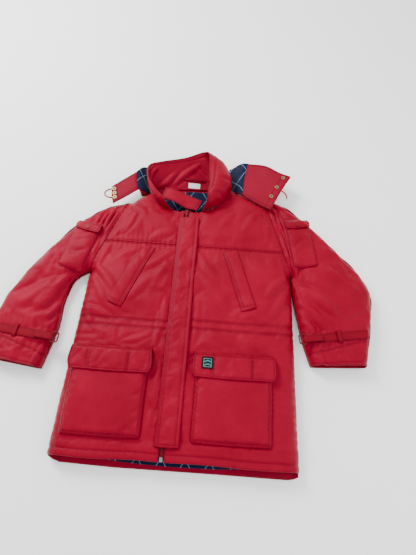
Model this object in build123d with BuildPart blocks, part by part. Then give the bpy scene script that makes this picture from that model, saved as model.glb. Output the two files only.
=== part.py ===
"""A padded foul weather jacket, lying on its back with the sleeves spread and the front closed.

The frame: +Z is up from the surface, +Y runs from the hem to the collar, and +X is the wearer's left.
The origin is under the back panel, on its centre line, at chest height. Every length is in millimetres.
"Right" and "left" in the names are the wearer's.
"""

import os
from math import cos, hypot, radians, sin, tan

from build123d import *

# ---- driving dimensions -------------------------------------------------------------------------
SHELL = 7.0  # outer cloth with its padding
LINING = 1.5  # quilted lining cloth
BAG_LAYER = 1.5  # room between lining and shell for pocket bags and zip tape
CAVITY = 27.5  # air inside the body and the sleeves as they lie
BACK_TOP = SHELL + LINING
LINING_LOW = BACK_TOP + CAVITY
BAG_LOW = LINING_LOW + LINING
SHELL_LOW = BAG_LOW + BAG_LAYER
TOP = SHELL_LOW + SHELL  # upper face of the front panels

HALF_HEM = 318.0
HALF_CHEST = 303.0
HEM_Y = -512.0
BACK_HEM_Y = -530.0
HEM_BAND = 46.0  # depth of the turned-up facing inside the hem
YOKE_Y = 103.0  # chest seam between the panels and the yokes
EDGE_ROUND = 18.0  # roundness of the padded side edges
ARMPIT = {"right": (-HALF_CHEST, 8.0), "left": (HALF_CHEST, 30.0)}
SHOULDER = {"right": (-218.0, 256.0), "left": (212.0, 304.0)}
NECK_SIDE = {"right": (-156.0, 300.0), "left": (100.0, 338.0)}
NECK_X, NECK_Y = -28.0, 330.0
NECK_HALF_WIDTH, NECK_DROP = 128.0, 108.0

ZIP_X = -30.0
ZIP_TOP, ZIP_LOW = 232.0, -500.0
ZIP_GAP = 14.0  # space between the two front edges
TAPE_WIDTH = 18.0
TOOTH_PITCH, TOOTH_LENGTH = 5.0, 2.3
CHAIN_WIDTH, CHAIN_HEIGHT = 5.2, 4.0
SLIDER_Y = 224.0
SLIDER_WIDTH, SLIDER_LENGTH = 11.0, 17.0
PULL_LENGTH, PULL_WIDTH, PULL_THICK = 21.0, 5.6, 1.4
PIN_RADIUS, PIN_PLAY = 0.8, 0.07

CLOTH = 4.0  # thickness of a doubled, padded flap
SEAM_GAP = 0.3  # left under a sewn edge that turns
TOUCH_TAPE = 1.2
STORM_LEFT, STORM_RIGHT = -51.0, 12.0  # hinge edge and free edge
STORM_LOW, STORM_TOP = -477.0, 200.0
FLAP_GAP = 4.0  # height of the storm flap's underside over the front

CARGO_WIDTH, CARGO_LOW, CARGO_MOUTH = 206.0, -462.0, -256.0
CARGO_CENTRE = {"right": -192.0, "left": 142.0}
CARGO_DEPTH = 11.0  # how far a cargo pocket stands off the front
CARGO_WALL = 2.5
CARGO_FLAP_WIDTH, CARGO_FLAP_TOP, CARGO_FLAP_LOW = 217.0, -228.0, -298.0
WELT_LENGTH, WELT_WIDTH = 212.0, 44.0
WELT_FOOT = {"right": (-210.0, -107.0), "left": (176.0, -95.0)}
WELT_LEAN = {"right": -20.5, "left": 18.5}  # degrees off the body's length
BADGE = (31.0, 33.0)

SLEEVE_ROUND = 15.0
ARM_POCKET_WIDTH, ARM_POCKET_LENGTH, ARM_POCKET_DEPTH = 72.0, 164.0, 6.0
ARM_FLAP_WIDTH, ARM_FLAP_LENGTH, ARM_CLOTH = 82.0, 34.0, 2.6
CAP_LINE = {  # across the sleeve below its head, which wrinkles when the sleeve swings
    "right": ((-340.0, -22.0), (-318.0, 183.0)),
    "left": ((313.0, -40.0), (330.0, 252.0)),
}
CUFF_FACING = 30.0
STRAP_WIDTH, STRAP_THICK = 25.0, 3.0
KEEPER_WIDTH, KEEPER_LENGTH = 12.0, 38.0
TAB_WIDTH = 20.0
RING_ROD, RING_LENGTH, RING_DEPTH = 2.0, 36.0, 17.0
SNAP_RADIUS = 7.5

COLLAR_HALF_WIDTH, COLLAR_WALL = 136.0, 6.0
COLLAR_LOW, COLLAR_HIGH = BACK_TOP, 98.0
COLLAR_EDGE = [(-166, 385), (-147, 402), (6, 458), (45, 430), (85, 382), (110, 350)]  # its free upper edge
COLLAR_GAP = (-78.0, 16.0)  # the open front, between its two ends
LOOP_SPAN, LOOP_RISE = 76.0, 8.0  # the hanging strap

HOOD_LOW, HOOD_THICK = TOP + 3.0, 9.0  # the wings lie over the shoulders
EYELET_HOLE, EYELET_RIM = 2.6, 6.5
CORD_DIAMETER = 4.5

SIDES = ("right", "left")
OUTWARD = {"right": -1.0, "left": 1.0}


# ---- helpers ------------------------------------------------------------------------------------
def slab(points, low, high):
    """A flat solid with a polygon outline."""
    with BuildPart() as plate:
        with BuildSketch(Plane.XY.offset(low)):
            with BuildLine():
                Polyline(*points, close=True)
            make_face()
        extrude(amount=high - low)
    return plate.part


def along_x(profile, x_low, x_high):
    """A solid with a (y, z) profile that runs along X."""
    with BuildPart() as bar:
        with BuildSketch(Plane.YZ.offset(x_low)):
            with BuildLine():
                Polyline(*profile, close=True)
            make_face()
        extrude(amount=x_high - x_low)
    return bar.part


def block(low, high):
    """A box from its lowest to its highest corner."""
    with BuildPart() as box:
        with Locations(tuple((a + b) / 2 for a, b in zip(low, high))):
            Box(*(b - a for a, b in zip(low, high)))
    return box.part


def disc(centre, low, high, radius):
    """A round upright solid at a plan point."""
    with BuildPart() as plate:
        with BuildSketch(Plane.XY.offset(low)):
            with Locations(centre):
                Circle(radius)
        extrude(amount=high - low)
    return plate.part


def save(builder, name):
    """Labels a finished sub-part and writes it as parts/NAME.step."""
    builder.part.label = name
    export_step(builder.part, f"parts/{name}.step")


def turned(point, centre, angle):
    """A plan point turned about a centre by an angle in degrees."""
    x, y = point[0] - centre[0], point[1] - centre[1]
    c, s = cos(radians(angle)), sin(radians(angle))
    return (centre[0] + x * c - y * s, centre[1] + x * s + y * c)


# ---- body ---------------------------------------------------------------------------------------
def body_outline(hem_y, inset=0.0, reach=0.0):
    """The body's plan: inset moves the closed seams in, reach moves the hem and the armholes out."""
    corners = [
        (-HALF_HEM, hem_y),
        (HALF_HEM, hem_y),
        ARMPIT["left"],
        SHOULDER["left"],
        NECK_SIDE["left"],
        (NECK_X, NECK_Y + 4),
        NECK_SIDE["right"],
        SHOULDER["right"],
        ARMPIT["right"],
    ]
    steps = [-reach, inset, -reach, inset, inset, inset, inset, -reach, inset]
    return inset_polygon(corners, steps)


def inset_polygon(corners, steps):
    """A polygon with each edge moved inwards by its own step; the corners run anticlockwise."""
    lines = []
    for (x0, y0), (x1, y1), step in zip(corners, corners[1:] + corners[:1], steps):
        run = hypot(x1 - x0, y1 - y0)
        nx, ny = (y0 - y1) / run, (x1 - x0) / run
        lines.append((nx, ny, nx * x0 + ny * y0 + step))
    moved = []
    for (a, b, c), (d, e, f) in zip(lines[-1:] + lines[:-1], lines):
        turn = a * e - b * d
        moved.append(((c * e - b * f) / turn, (a * f - c * d) / turn))
    return moved


def is_closed_seam(edge):
    """True for the side and shoulder seams, where the front comes down to the back."""
    middle = edge.center()
    on_side = abs(middle.X) > HALF_CHEST and middle.Y < 0
    on_shoulder = middle.Y > SHOULDER["right"][1] and abs(middle.X - NECK_X) > 40
    return on_side or on_shoulder


def padded_body(low):
    """The whole body as a block, its upper edges rounded like padding along the closed seams."""
    with BuildPart() as body:
        add(slab(body_outline(HEM_Y), low, TOP))
        fillet(body.edges().group_by(Axis.Z)[-1].filter_by(is_closed_seam), radius=EDGE_ROUND)
    return body.part


def neck_hole(grow=0.0):
    """The oval neck opening, as a solid to cut with."""
    with BuildPart() as hole:
        with BuildSketch(Plane.XY.offset(SHELL)):
            with Locations((NECK_X, NECK_Y)):
                Ellipse(NECK_HALF_WIDTH + grow, NECK_DROP + grow)
        extrude(amount=2 * TOP)
    return hole.part


def make_fronts():
    """Two panels below the chest seam and two yokes above it, apart along the zip."""
    outer = padded_body(SHELL)
    hollow = slab(body_outline(HEM_Y, SHELL, 1.0), SHELL - 1, SHELL_LOW)
    near, far = ZIP_X - ZIP_GAP / 2, ZIP_X + ZIP_GAP / 2
    low, high, wide = -600.0, 420.0, 400.0
    regions = {
        "front_panel_right": ((-wide, low, 0), (near, YOKE_Y, TOP)),
        "front_panel_left": ((far, low, 0), (wide, YOKE_Y, TOP)),
        "front_yoke_right": ((-wide, YOKE_Y, 0), (near, high, TOP)),
        "front_yoke_left": ((far, YOKE_Y, 0), (wide, high, TOP)),
    }
    for name, corners in regions.items():
        with BuildPart() as front:
            add(outer)
            add(hollow, mode=Mode.SUBTRACT)
            add(neck_hole(), mode=Mode.SUBTRACT)
            add(block(*corners), mode=Mode.INTERSECT)
        save(front, name)


def make_back():
    with BuildPart() as back_panel:
        add(slab(body_outline(BACK_HEM_Y), 0, SHELL))
    save(back_panel, "back_panel")
    with BuildPart() as back_lining:
        add(slab(body_outline(BACK_HEM_Y, SHELL + 1), SHELL, BACK_TOP))
        add(block((-400, -600, 0), (400, BACK_HEM_Y + HEM_BAND, TOP)), mode=Mode.SUBTRACT)
    save(back_lining, "back_lining")


def make_front_linings():
    edge = TAPE_WIDTH + 3
    halves = {
        "right": ((-400, HEM_Y + HEM_BAND, 0), (ZIP_X - edge, 420, TOP)),
        "left": ((ZIP_X + edge, HEM_Y + HEM_BAND, 0), (400, 420, TOP)),
    }
    for side, corners in halves.items():
        with BuildPart() as front_lining:
            add(slab(body_outline(HEM_Y, SHELL + 1), LINING_LOW, BAG_LOW))
            add(neck_hole(4), mode=Mode.SUBTRACT)
            add(block(*corners), mode=Mode.INTERSECT)
        save(front_lining, f"front_lining_{side}")


def make_hem_facing():
    """The turned-up strips inside the hem: one on the back, one on each front."""
    inner = HALF_HEM - SHELL - 3
    edge = TAPE_WIDTH + 3
    back_low, front_low = BACK_HEM_Y + 1, HEM_Y + 1
    deep = HEM_BAND - 2
    with BuildPart() as hem_facing:
        add(block((-inner, back_low, SHELL), (inner, back_low + deep, BACK_TOP)))
        add(block((-inner, front_low, LINING_LOW), (ZIP_X - edge, front_low + deep, BAG_LOW)))
        add(block((ZIP_X + edge, front_low, LINING_LOW), (inner, front_low + deep, BAG_LOW)))
    save(hem_facing, "hem_facing")


# ---- zip ----------------------------------------------------------------------------------------
def tooth_comb(out):
    """One side of the chain: a spine with teeth that reach past the middle."""
    count = int((ZIP_TOP - ZIP_LOW) / TOOTH_PITCH)
    phase = 0.25 if out < 0 else 0.75
    middle = ZIP_LOW + (phase + (count - 1) / 2) * TOOTH_PITCH
    half = CHAIN_WIDTH / 2
    with BuildPart() as comb:
        with BuildSketch(Plane.XY.offset(SHELL_LOW)):
            with Locations((ZIP_X + out * (half - 0.5), (ZIP_LOW + ZIP_TOP) / 2)):
                Rectangle(1.0, ZIP_TOP - ZIP_LOW)
            with Locations((ZIP_X + out * (half - 1.7), middle)):
                with GridLocations(0, TOOTH_PITCH, 1, count):
                    Rectangle(2.8, TOOTH_LENGTH)
        extrude(amount=CHAIN_HEIGHT)
    return comb.part


def make_chain():
    """The two cloth tapes, the two rows of teeth on them, and the box at the hem."""
    with BuildPart() as zip_tapes:
        for low_x, high_x in ((ZIP_X - TAPE_WIDTH, ZIP_X - 1), (ZIP_X + 1, ZIP_X + TAPE_WIDTH)):
            add(block((low_x, ZIP_LOW, BAG_LOW), (high_x, ZIP_TOP, SHELL_LOW)))
    save(zip_tapes, "zip_tapes")
    with BuildPart() as zip_teeth:
        for out in OUTWARD.values():
            add(tooth_comb(out))
    save(zip_teeth, "zip_teeth")
    half, length = CHAIN_WIDTH / 2 + 1.4, 11.0
    with BuildPart() as zip_bottom_box:
        with BuildSketch(Plane.XY.offset(BAG_LOW)):
            with Locations((ZIP_X, ZIP_LOW - length / 2)):
                RectangleRounded(2 * half, length, 1.2)
        extrude(amount=SHELL_LOW + CHAIN_HEIGHT - BAG_LOW)
    save(zip_bottom_box, "zip_bottom_box")


PLATE_LOW = SHELL_LOW + CHAIN_HEIGHT + 0.3
PLATE_HIGH = PLATE_LOW + 1.6
PIN_Z = PLATE_HIGH + 1.9


def make_slider():
    """The saddle over the chain: a plate, two side rails, two ears and the cross pin."""
    ear_x = SLIDER_WIDTH / 2 - 0.7
    rail_x = CHAIN_WIDTH / 2 + 1.1
    with BuildPart() as zip_slider:
        with BuildSketch(Plane.XY.offset(PLATE_LOW)):
            with Locations((ZIP_X, SLIDER_Y)):
                RectangleRounded(SLIDER_WIDTH, SLIDER_LENGTH, 3.0)
        extrude(amount=PLATE_HIGH - PLATE_LOW)
        with BuildSketch(Plane.XY.offset(SHELL_LOW + 0.3)):
            with Locations((ZIP_X, SLIDER_Y)):
                with GridLocations(2 * rail_x, 0, 2, 1):
                    Rectangle(1.6, SLIDER_LENGTH - 6)
        extrude(amount=PLATE_LOW - SHELL_LOW)
        for out in OUTWARD.values():
            with BuildSketch(Plane.YZ.offset(ZIP_X + out * ear_x - 0.6)):
                with Locations((SLIDER_Y, PIN_Z)):
                    Circle(1.7)
                with Locations((SLIDER_Y, (PIN_Z + PLATE_LOW) / 2)):
                    Rectangle(3.4, PIN_Z - PLATE_LOW)
            extrude(amount=1.2)
        with BuildSketch(Plane.YZ.offset(ZIP_X - ear_x)):
            with Locations((SLIDER_Y, PIN_Z)):
                Circle(PIN_RADIUS)
        extrude(amount=2 * ear_x)
    save(zip_slider, "zip_slider")


def make_pull():
    """The tongue that turns on the slider's pin."""
    bore = PIN_RADIUS + PIN_PLAY
    with BuildPart() as zip_pull:
        with BuildSketch(Plane.YZ.offset(ZIP_X - PULL_WIDTH / 2)):
            with Locations((SLIDER_Y, PIN_Z)):
                Circle(bore + 0.75)
        extrude(amount=PULL_WIDTH)
        with BuildSketch(Plane.XY.offset(PIN_Z - PULL_THICK / 2)):
            with Locations((ZIP_X, SLIDER_Y - PULL_LENGTH / 2 - 0.5)):
                RectangleRounded(PULL_WIDTH, PULL_LENGTH, 1.4)
            with Locations((ZIP_X, SLIDER_Y - PULL_LENGTH + 3.5)):
                Circle(1.5, mode=Mode.SUBTRACT)
        extrude(amount=PULL_THICK)
        with BuildSketch(Plane.YZ.offset(ZIP_X - PULL_WIDTH)):
            with Locations((SLIDER_Y, PIN_Z)):
                Circle(bore)
        extrude(amount=2 * PULL_WIDTH, mode=Mode.SUBTRACT)
    save(zip_pull, "zip_pull")


# ---- flaps and pockets of the front --------------------------------------------------------------
def make_storm_flap():
    """The long flap over the zip, sewn down along its right edge, with its touch tapes."""
    low, seam_low = TOP + FLAP_GAP, TOP + SEAM_GAP
    profile = [
        (STORM_LEFT, seam_low),
        (STORM_LEFT, seam_low + CLOTH),
        (STORM_LEFT + 7, low + CLOTH),
        (STORM_RIGHT, low + CLOTH),
        (STORM_RIGHT, low),
        (STORM_LEFT + 9, low),
        (STORM_LEFT + 4, seam_low),
    ]
    with BuildPart() as storm_flap:
        with BuildSketch(Plane.XZ.offset(-STORM_TOP)):
            with BuildLine():
                Polyline(*profile, close=True)
            make_face()
        extrude(amount=STORM_TOP - STORM_LOW)
    save(storm_flap, "storm_flap")
    near, far = STORM_RIGHT - 16, STORM_RIGHT - 3
    low_y, high_y = STORM_LOW + 20, STORM_TOP - 20
    with BuildPart() as hook_tape:
        add(block((near, low_y, low - TOUCH_TAPE), (far, high_y, low)))
    save(hook_tape, "storm_flap_hook_tape")
    with BuildPart() as loop_tape:
        add(block((near, low_y, TOP), (far, high_y, TOP + TOUCH_TAPE)))
    save(loop_tape, "storm_flap_loop_tape")


def flap_profile(top_y, low_y, rest, thick):
    """(y, z) of a pocket flap: sewn down at the top, then stepping up over its pocket."""
    seam_low = TOP + SEAM_GAP
    return [
        (top_y, seam_low),
        (top_y, seam_low + thick),
        (top_y - 12, rest + thick),
        (low_y, rest + thick),
        (low_y, rest),
        (top_y - 14, rest),
        (top_y - 4, seam_low),
    ]


CARGO_REST = TOP + CARGO_DEPTH + 0.6  # underside of a closed cargo flap


def make_cargo_pocket(side):
    """A patch pocket standing off the front, open along its upper edge."""
    middle = (CARGO_CENTRE[side], (CARGO_LOW + CARGO_MOUTH) / 2)
    height = CARGO_MOUTH - CARGO_LOW
    with BuildPart() as cargo_pocket:
        with BuildSketch(Plane.XY.offset(TOP)):
            with Locations(middle):
                Rectangle(CARGO_WIDTH, height)
        extrude(amount=CARGO_DEPTH)
        low_corners = cargo_pocket.edges().filter_by(Axis.Z).group_by(Axis.Y)[0]
        fillet(low_corners, radius=6.0)
        with BuildSketch(Plane.XY.offset(TOP)):
            with Locations((middle[0], middle[1] + CARGO_WALL)):
                Rectangle(CARGO_WIDTH - 2 * CARGO_WALL, height)
        extrude(amount=CARGO_DEPTH - CARGO_WALL, mode=Mode.SUBTRACT)
    save(cargo_pocket, f"cargo_pocket_{side}")


def make_cargo_flap(side):
    half = CARGO_FLAP_WIDTH / 2
    profile = flap_profile(CARGO_FLAP_TOP, CARGO_FLAP_LOW, CARGO_REST, CLOTH)
    with BuildPart() as cargo_flap:
        add(along_x(profile, CARGO_CENTRE[side] - half, CARGO_CENTRE[side] + half))
    save(cargo_flap, f"cargo_flap_{side}")


def make_badge():
    """A small plain patch on the left cargo flap."""
    left = CARGO_CENTRE["left"] - CARGO_FLAP_WIDTH / 2 + 20
    top = CARGO_FLAP_TOP - 15
    face = CARGO_REST + CLOTH
    with BuildPart() as flap_badge:
        add(block((left, top - BADGE[1], face), (left + BADGE[0], top, face + 1.2)))
    save(flap_badge, "flap_badge")


def make_chest_pockets():
    """The slanted welts on the chest, and the flat bags behind them."""
    below_yoke = block((-400, -600, 0), (400, YOKE_Y - 1, 2 * TOP))
    with BuildPart() as chest_welts:
        for side in SIDES:
            foot, lean = WELT_FOOT[side], WELT_LEAN[side]
            corners = rectangle(WELT_WIDTH / 2, 0, WELT_LENGTH)
            points = [turned((foot[0] + x, foot[1] + y), foot, lean) for x, y in corners]
            add(slab(points, TOP, TOP + CLOTH))
        add(below_yoke, mode=Mode.INTERSECT)
    save(chest_welts, "chest_welts")
    with BuildPart() as chest_pocket_bags:
        for side in SIDES:
            middle = WELT_FOOT[side][0] - OUTWARD[side] * 20
            add(block((middle - 55, -120, BAG_LOW), (middle + 55, 70, SHELL_LOW)))
    save(chest_pocket_bags, "chest_pocket_bags")


# ---- neck ---------------------------------------------------------------------------------------
def make_collar():
    """The stand collar as an oval tube lying along Y: its front is open and its foot is on the neckline."""
    height = COLLAR_HIGH - COLLAR_LOW
    middle = (COLLAR_LOW + COLLAR_HIGH) / 2
    low_y, high_y = 222, 470
    foot = [(low_y, 0), (330, 0), (322, 16), (300, 32), (236, COLLAR_HIGH + 5), (low_y, COLLAR_HIGH + 5)]
    gap = block((COLLAR_GAP[0], low_y - 9, middle), (COLLAR_GAP[1], high_y, COLLAR_HIGH + 5))
    with BuildPart() as collar:
        with BuildSketch(Plane.XZ.offset(-high_y)):
            with Locations((NECK_X, middle)):
                SlotOverall(2 * COLLAR_HALF_WIDTH, height)
                inner = 2 * (COLLAR_HALF_WIDTH - COLLAR_WALL)
                SlotOverall(inner, height - 2 * COLLAR_WALL, mode=Mode.SUBTRACT)
        extrude(amount=high_y - low_y)
        add(slab([(110, low_y), (-166, low_y)] + COLLAR_EDGE, 0, COLLAR_HIGH), mode=Mode.INTERSECT)
        add(along_x(foot, -300, 300), mode=Mode.SUBTRACT)
        add(gap, mode=Mode.SUBTRACT)
        add(body_round_neck(), mode=Mode.SUBTRACT)
    save(collar, "collar")


def body_round_neck():
    """The body's whole volume with the neck hole cut in it, to trim the collar with."""
    with BuildPart() as around:
        add(padded_body(0))
        add(neck_hole(-0.5), mode=Mode.SUBTRACT)
    return around.part


def make_neck_label():
    with BuildPart() as neck_label:
        floor = COLLAR_LOW + COLLAR_WALL
        add(block((-36, 340, floor), (4, 358, floor + 0.8)))
    save(neck_label, "neck_label")


def make_hanger_loop():
    """A strap sewn down at both ends inside the nape, to hang the jacket up by."""
    with BuildPart() as hanger_loop:
        with BuildSketch(Plane.XZ.offset(-370)):
            with Locations((-16, COLLAR_LOW + COLLAR_WALL + LOOP_RISE / 2)):
                Rectangle(LOOP_SPAN, LOOP_RISE)
                Rectangle(LOOP_SPAN - 10, LOOP_RISE - 3, mode=Mode.SUBTRACT)
        extrude(amount=6)
    save(hanger_loop, "hanger_loop")


def make_inner_wind_flap():
    """The strip behind the zip, whose upper end closes across the throat."""
    near, far = ZIP_X - 26, ZIP_X + 36
    throat = [(6, 262), (-4, 292), (-84, 302), (-88, 268)]
    outline = [(near, -486), (far, -486), (far, 205)] + throat + [(near, 205)]
    with BuildPart() as inner_wind_flap:
        add(slab(outline, LINING_LOW - 3, LINING_LOW))
    save(inner_wind_flap, "inner_wind_flap")


# ---- hood ---------------------------------------------------------------------------------------
HOOD_HIGH = HOOD_LOW + HOOD_THICK
HOOD_ARM = {
    "right": [(-169, 306), (-169, 398), (-196, 392), (-206, 362), (-196, 306)],
    "left": [(113, 344), (146, 338), (158, 428), (140, 432), (113, 428)],
}
WING = {
    "right": [(-206, 362), (-279, 296), (-268, 238), (-196, 306)],
    "left": [(158, 428), (222, 424), (270, 398), (304, 388), (240, 266), (146, 322)],
}
EYELETS = {
    "right": [(-270, 284), (-266, 268), (-263, 252)],
    "left": [(276, 378), (255, 338), (237, 300)],
}


def make_hood_shell():
    """The hood's outer cloth, folded flat under the collar and rising on both sides of it."""
    under = [
        (-196, 306), (-206, 362), (-196, 392), (-150, 400), (-28, 424), (60, 428), (140, 432), (158, 428),
        (148, 332), (100, 344), (-28, 340), (-154, 308), (-180, 292),
    ]
    with BuildPart() as hood_shell:
        add(slab(under, 0.5, BACK_TOP - 0.5))
        for arm in HOOD_ARM.values():
            add(slab(arm, BACK_TOP - 0.5, HOOD_LOW))
    save(hood_shell, "hood_shell")


def make_hood_lining():
    """The hood's lining, facing up on each side between the collar and the red end."""
    with BuildPart() as hood_lining:
        for arm in HOOD_ARM.values():
            add(slab(arm, HOOD_LOW, HOOD_HIGH))
    save(hood_lining, "hood_lining")


def make_hood_facing(side):
    """The padded end of the hood, spread over the shoulder, with three holes for the eyelets."""
    with BuildPart() as hood_facing:
        add(slab(WING[side], HOOD_LOW, HOOD_HIGH))
        with Locations(*[(x, y, HOOD_HIGH) for x, y in EYELETS[side]]):
            Hole(EYELET_HOLE + 0.8)
    save(hood_facing, f"hood_facing_{side}")


def make_hood_eyelets():
    """Brass eyelets: a barrel through the cloth with a rim on each face."""
    places = [point for side in SIDES for point in EYELETS[side]]
    rim = 0.8
    with BuildPart() as hood_eyelets:
        layers = (
            (HOOD_LOW - rim, rim, EYELET_RIM),
            (HOOD_LOW, HOOD_THICK, EYELET_HOLE + 0.8),
            (HOOD_HIGH, rim, EYELET_RIM),
        )
        for low, height, radius in layers:
            with BuildSketch(Plane.XY.offset(low)):
                with Locations(*places):
                    Circle(radius)
                    Circle(EYELET_HOLE, mode=Mode.SUBTRACT)
            extrude(amount=height)
    save(hood_eyelets, "hood_eyelets")


# The hood cord leaves each red end at a right angle: a loop on the right, a short tail on the left.
CORD_Z = HOOD_LOW + HOOD_THICK / 2
CORD_ROUTE = {
    "right": [
        (-277.0, 285.5, CORD_Z), (-290.8, 282.9, CORD_Z), (-301.0, 264.5, CORD_Z),
        (-284.5, 249.9, CORD_Z), (-270.75, 252.5, CORD_Z),
    ],
    "left": [(272.0, 327.0, CORD_Z), (281.0, 322.3, CORD_Z), (287.0, 309.0, CORD_Z - 3.0)],
}


def arc_radii(points):
    """For each corner of a route, the largest arc that its two runs allow."""
    radii = []
    for before, at, after in zip(points, points[1:], points[2:]):
        run_in, run_out = Vector(*at) - Vector(*before), Vector(*after) - Vector(*at)
        half_turn = radians(run_in.get_angle(run_out)) / 2
        radii.append(0.45 * min(run_in.length, run_out.length) / tan(half_turn))
    return radii


def make_hood_cord(side):
    points = CORD_ROUTE[side]
    with BuildPart() as hood_cord:
        with BuildLine() as route:
            FilletPolyline(*points, radius=arc_radii(points))
        with BuildSketch(Plane(origin=route.line @ 0, z_dir=route.line % 0)):
            Circle(CORD_DIAMETER / 2)
        sweep(path=route.line)
    save(hood_cord, f"hood_cord_{side}")


# ---- sleeves ------------------------------------------------------------------------------------
OUTER_LINE = {
    "right": [
        (-218, 256), (-278, 234), (-350, 180), (-430, 78),
        (-488, -15), (-524, -95), (-544, -180), (-542, -278),
    ],
    "left": [
        (212, 304), (268, 290), (349, 230), (440, 137),
        (512, 55), (541, -5), (538, -80), (514, -228),
    ],
}
INNER_LINE = {
    "right": [(-303, 8), (-340, -22), (-360, -90), (-362, -180), (-386, -298)],
    "left": [(303, 30), (316, -60), (327, -120), (340, -180), (359, -238)],
}
POCKET_TOP = {"right": (-324.0, 157.0), "left": (318.0, 222.0)}
POCKET_LEAN = {"right": -13.0, "left": 10.0}
STRAP_LINE = {"right": [(-541, -196), (-366, -216)], "left": [(527, -138), (341, -169)]}
KEEPER_AT = {"right": 0.42, "left": 0.5}  # along the strap, from its outer end


def sleeve_outline(side, inset=0.0, cuff=0.0, armhole=0.0):
    """The sleeve's plan: inset moves the long edges in, cuff and armhole move the two ends in."""
    outer, inner = OUTER_LINE[side], INNER_LINE[side]
    steps = [inset] * (len(outer) - 1) + [cuff] + [inset] * (len(inner) - 1) + [armhole]
    return inset_polygon(outer + inner[::-1], [-OUTWARD[side] * step for step in steps])


def padded_sleeve(side):
    """The sleeve's upper half: rounded along both long edges and hollow underneath."""
    outline = sleeve_outline(side)
    turn = len(OUTER_LINE[side])
    cuff = Vector(*outline[turn - 1], TOP) + Vector(*outline[turn], TOP)
    armhole = Vector(*outline[0], TOP) + Vector(*outline[-1], TOP)
    with BuildPart() as upper:
        add(slab(outline, SHELL, TOP))
        top_edges = upper.edges().group_by(Axis.Z)[-1]
        ends = top_edges.sort_by_distance(cuff / 2)[:1] + top_edges.sort_by_distance(armhole / 2)[:1]
        fillet([edge for edge in top_edges if edge not in ends], radius=SLEEVE_ROUND)
        add(slab(sleeve_outline(side, SHELL, -1, -1), SHELL - 1, SHELL_LOW), mode=Mode.SUBTRACT)
    return upper.part


def beyond_head(side, gap):
    """All of the plan outside the line below the sleeve head, starting a gap away from it."""
    out = OUTWARD[side]
    (x0, y0), (x1, y1) = CAP_LINE[side]
    lean, reach = (x1 - x0) / (y1 - y0), 500
    low_x, high_x = (x0 + lean * (y - y0) + out * gap for y in (-reach, reach))
    far_low, far_high = low_x + out * reach, high_x + out * reach
    return slab([(low_x, -reach), (far_low, -reach), (far_high, reach), (high_x, reach)], -1, 2 * TOP)


def make_sleeve_cloth(side):
    """The head that wrinkles at the armhole, the upper and under halves, and the lining tube."""
    with BuildPart() as sleeve_cap:
        add(padded_sleeve(side))
        add(slab(sleeve_outline(side), 0, SHELL))
        add(beyond_head(side, 0), mode=Mode.SUBTRACT)
    save(sleeve_cap, f"sleeve_cap_{side}")
    rest = beyond_head(side, 0.5)
    with BuildPart() as sleeve_upper:
        add(padded_sleeve(side))
        add(rest, mode=Mode.INTERSECT)
    save(sleeve_upper, f"sleeve_upper_{side}")
    with BuildPart() as sleeve_under:
        add(slab(sleeve_outline(side), 0, SHELL))
        add(rest, mode=Mode.INTERSECT)
    save(sleeve_under, f"sleeve_under_{side}")
    with BuildPart() as sleeve_lining:
        for low in (SHELL, LINING_LOW):
            add(slab(sleeve_outline(side, SHELL + 1, CUFF_FACING), low, low + LINING))
        add(rest, mode=Mode.INTERSECT)
    save(sleeve_lining, f"sleeve_lining_{side}")


def rectangle(half_width, y_low, y_high):
    """Corners of an upright rectangle centred on x = 0."""
    return [(-half_width, y_low), (half_width, y_low), (half_width, y_high), (-half_width, y_high)]


def pocket_plan(side, corners):
    """Points drawn about the middle of a sleeve pocket's top edge, turned to its lean."""
    x0, y0 = POCKET_TOP[side]
    return [turned((x0 + x, y0 + y), (x0, y0), POCKET_LEAN[side]) for x, y in corners]


ARM_REST = TOP + ARM_POCKET_DEPTH + 1.8  # underside of a closed sleeve flap


def make_sleeve_pocket(side):
    """A small patch pocket, open at the top, under a flap with a press stud."""
    half, wall = ARM_POCKET_WIDTH / 2, 1.5
    outside = pocket_plan(side, rectangle(half, -ARM_POCKET_LENGTH, -10))
    inside = pocket_plan(side, rectangle(half - wall, -ARM_POCKET_LENGTH + wall, 0))
    with BuildPart() as sleeve_pocket:
        add(slab(outside, TOP, TOP + ARM_POCKET_DEPTH))
        add(slab(inside, TOP, TOP + ARM_POCKET_DEPTH - wall), mode=Mode.SUBTRACT)
    save(sleeve_pocket, f"sleeve_pocket_{side}")
    stud_at = pocket_plan(side, [(0, -20)])[0]
    with BuildPart() as sleeve_stud:
        add(disc(stud_at, TOP + ARM_POCKET_DEPTH, TOP + ARM_POCKET_DEPTH + 1.0, 5.0))
    save(sleeve_stud, f"sleeve_stud_{side}")


def make_sleeve_flap(side):
    lean = radians(POCKET_LEAN[side])
    plane = Plane(origin=(*POCKET_TOP[side], 0), x_dir=(cos(lean), sin(lean), 0))
    profile = flap_profile(3.0, 3.0 - ARM_FLAP_LENGTH, ARM_REST, ARM_CLOTH)
    half = ARM_FLAP_WIDTH / 2
    snap_at = pocket_plan(side, [(0, -20)])[0]
    face = ARM_REST + ARM_CLOTH
    with BuildPart() as sleeve_flap:
        add(plane.location * along_x(profile, -half, half))
        add(disc(snap_at, ARM_REST - 1, face + 1, 2.0), mode=Mode.SUBTRACT)
    save(sleeve_flap, f"sleeve_flap_{side}")
    with BuildPart() as sleeve_snap:
        add(disc(snap_at, face, face + 1.6, SNAP_RADIUS))
        fillet(sleeve_snap.edges().group_by(Axis.Z)[-1], radius=0.7)
        add(disc(snap_at, ARM_REST - 0.6, face, 2.0))
    save(sleeve_snap, f"sleeve_snap_{side}")


def strap_frame(side):
    """The cuff strap's plane, its x along the strap from the outer end, and the strap's length."""
    (x0, y0), (x1, y1) = STRAP_LINE[side]
    return Plane(origin=(x0, y0, 0), x_dir=(x1 - x0, y1 - y0, 0)), hypot(x1 - x0, y1 - y0)


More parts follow.
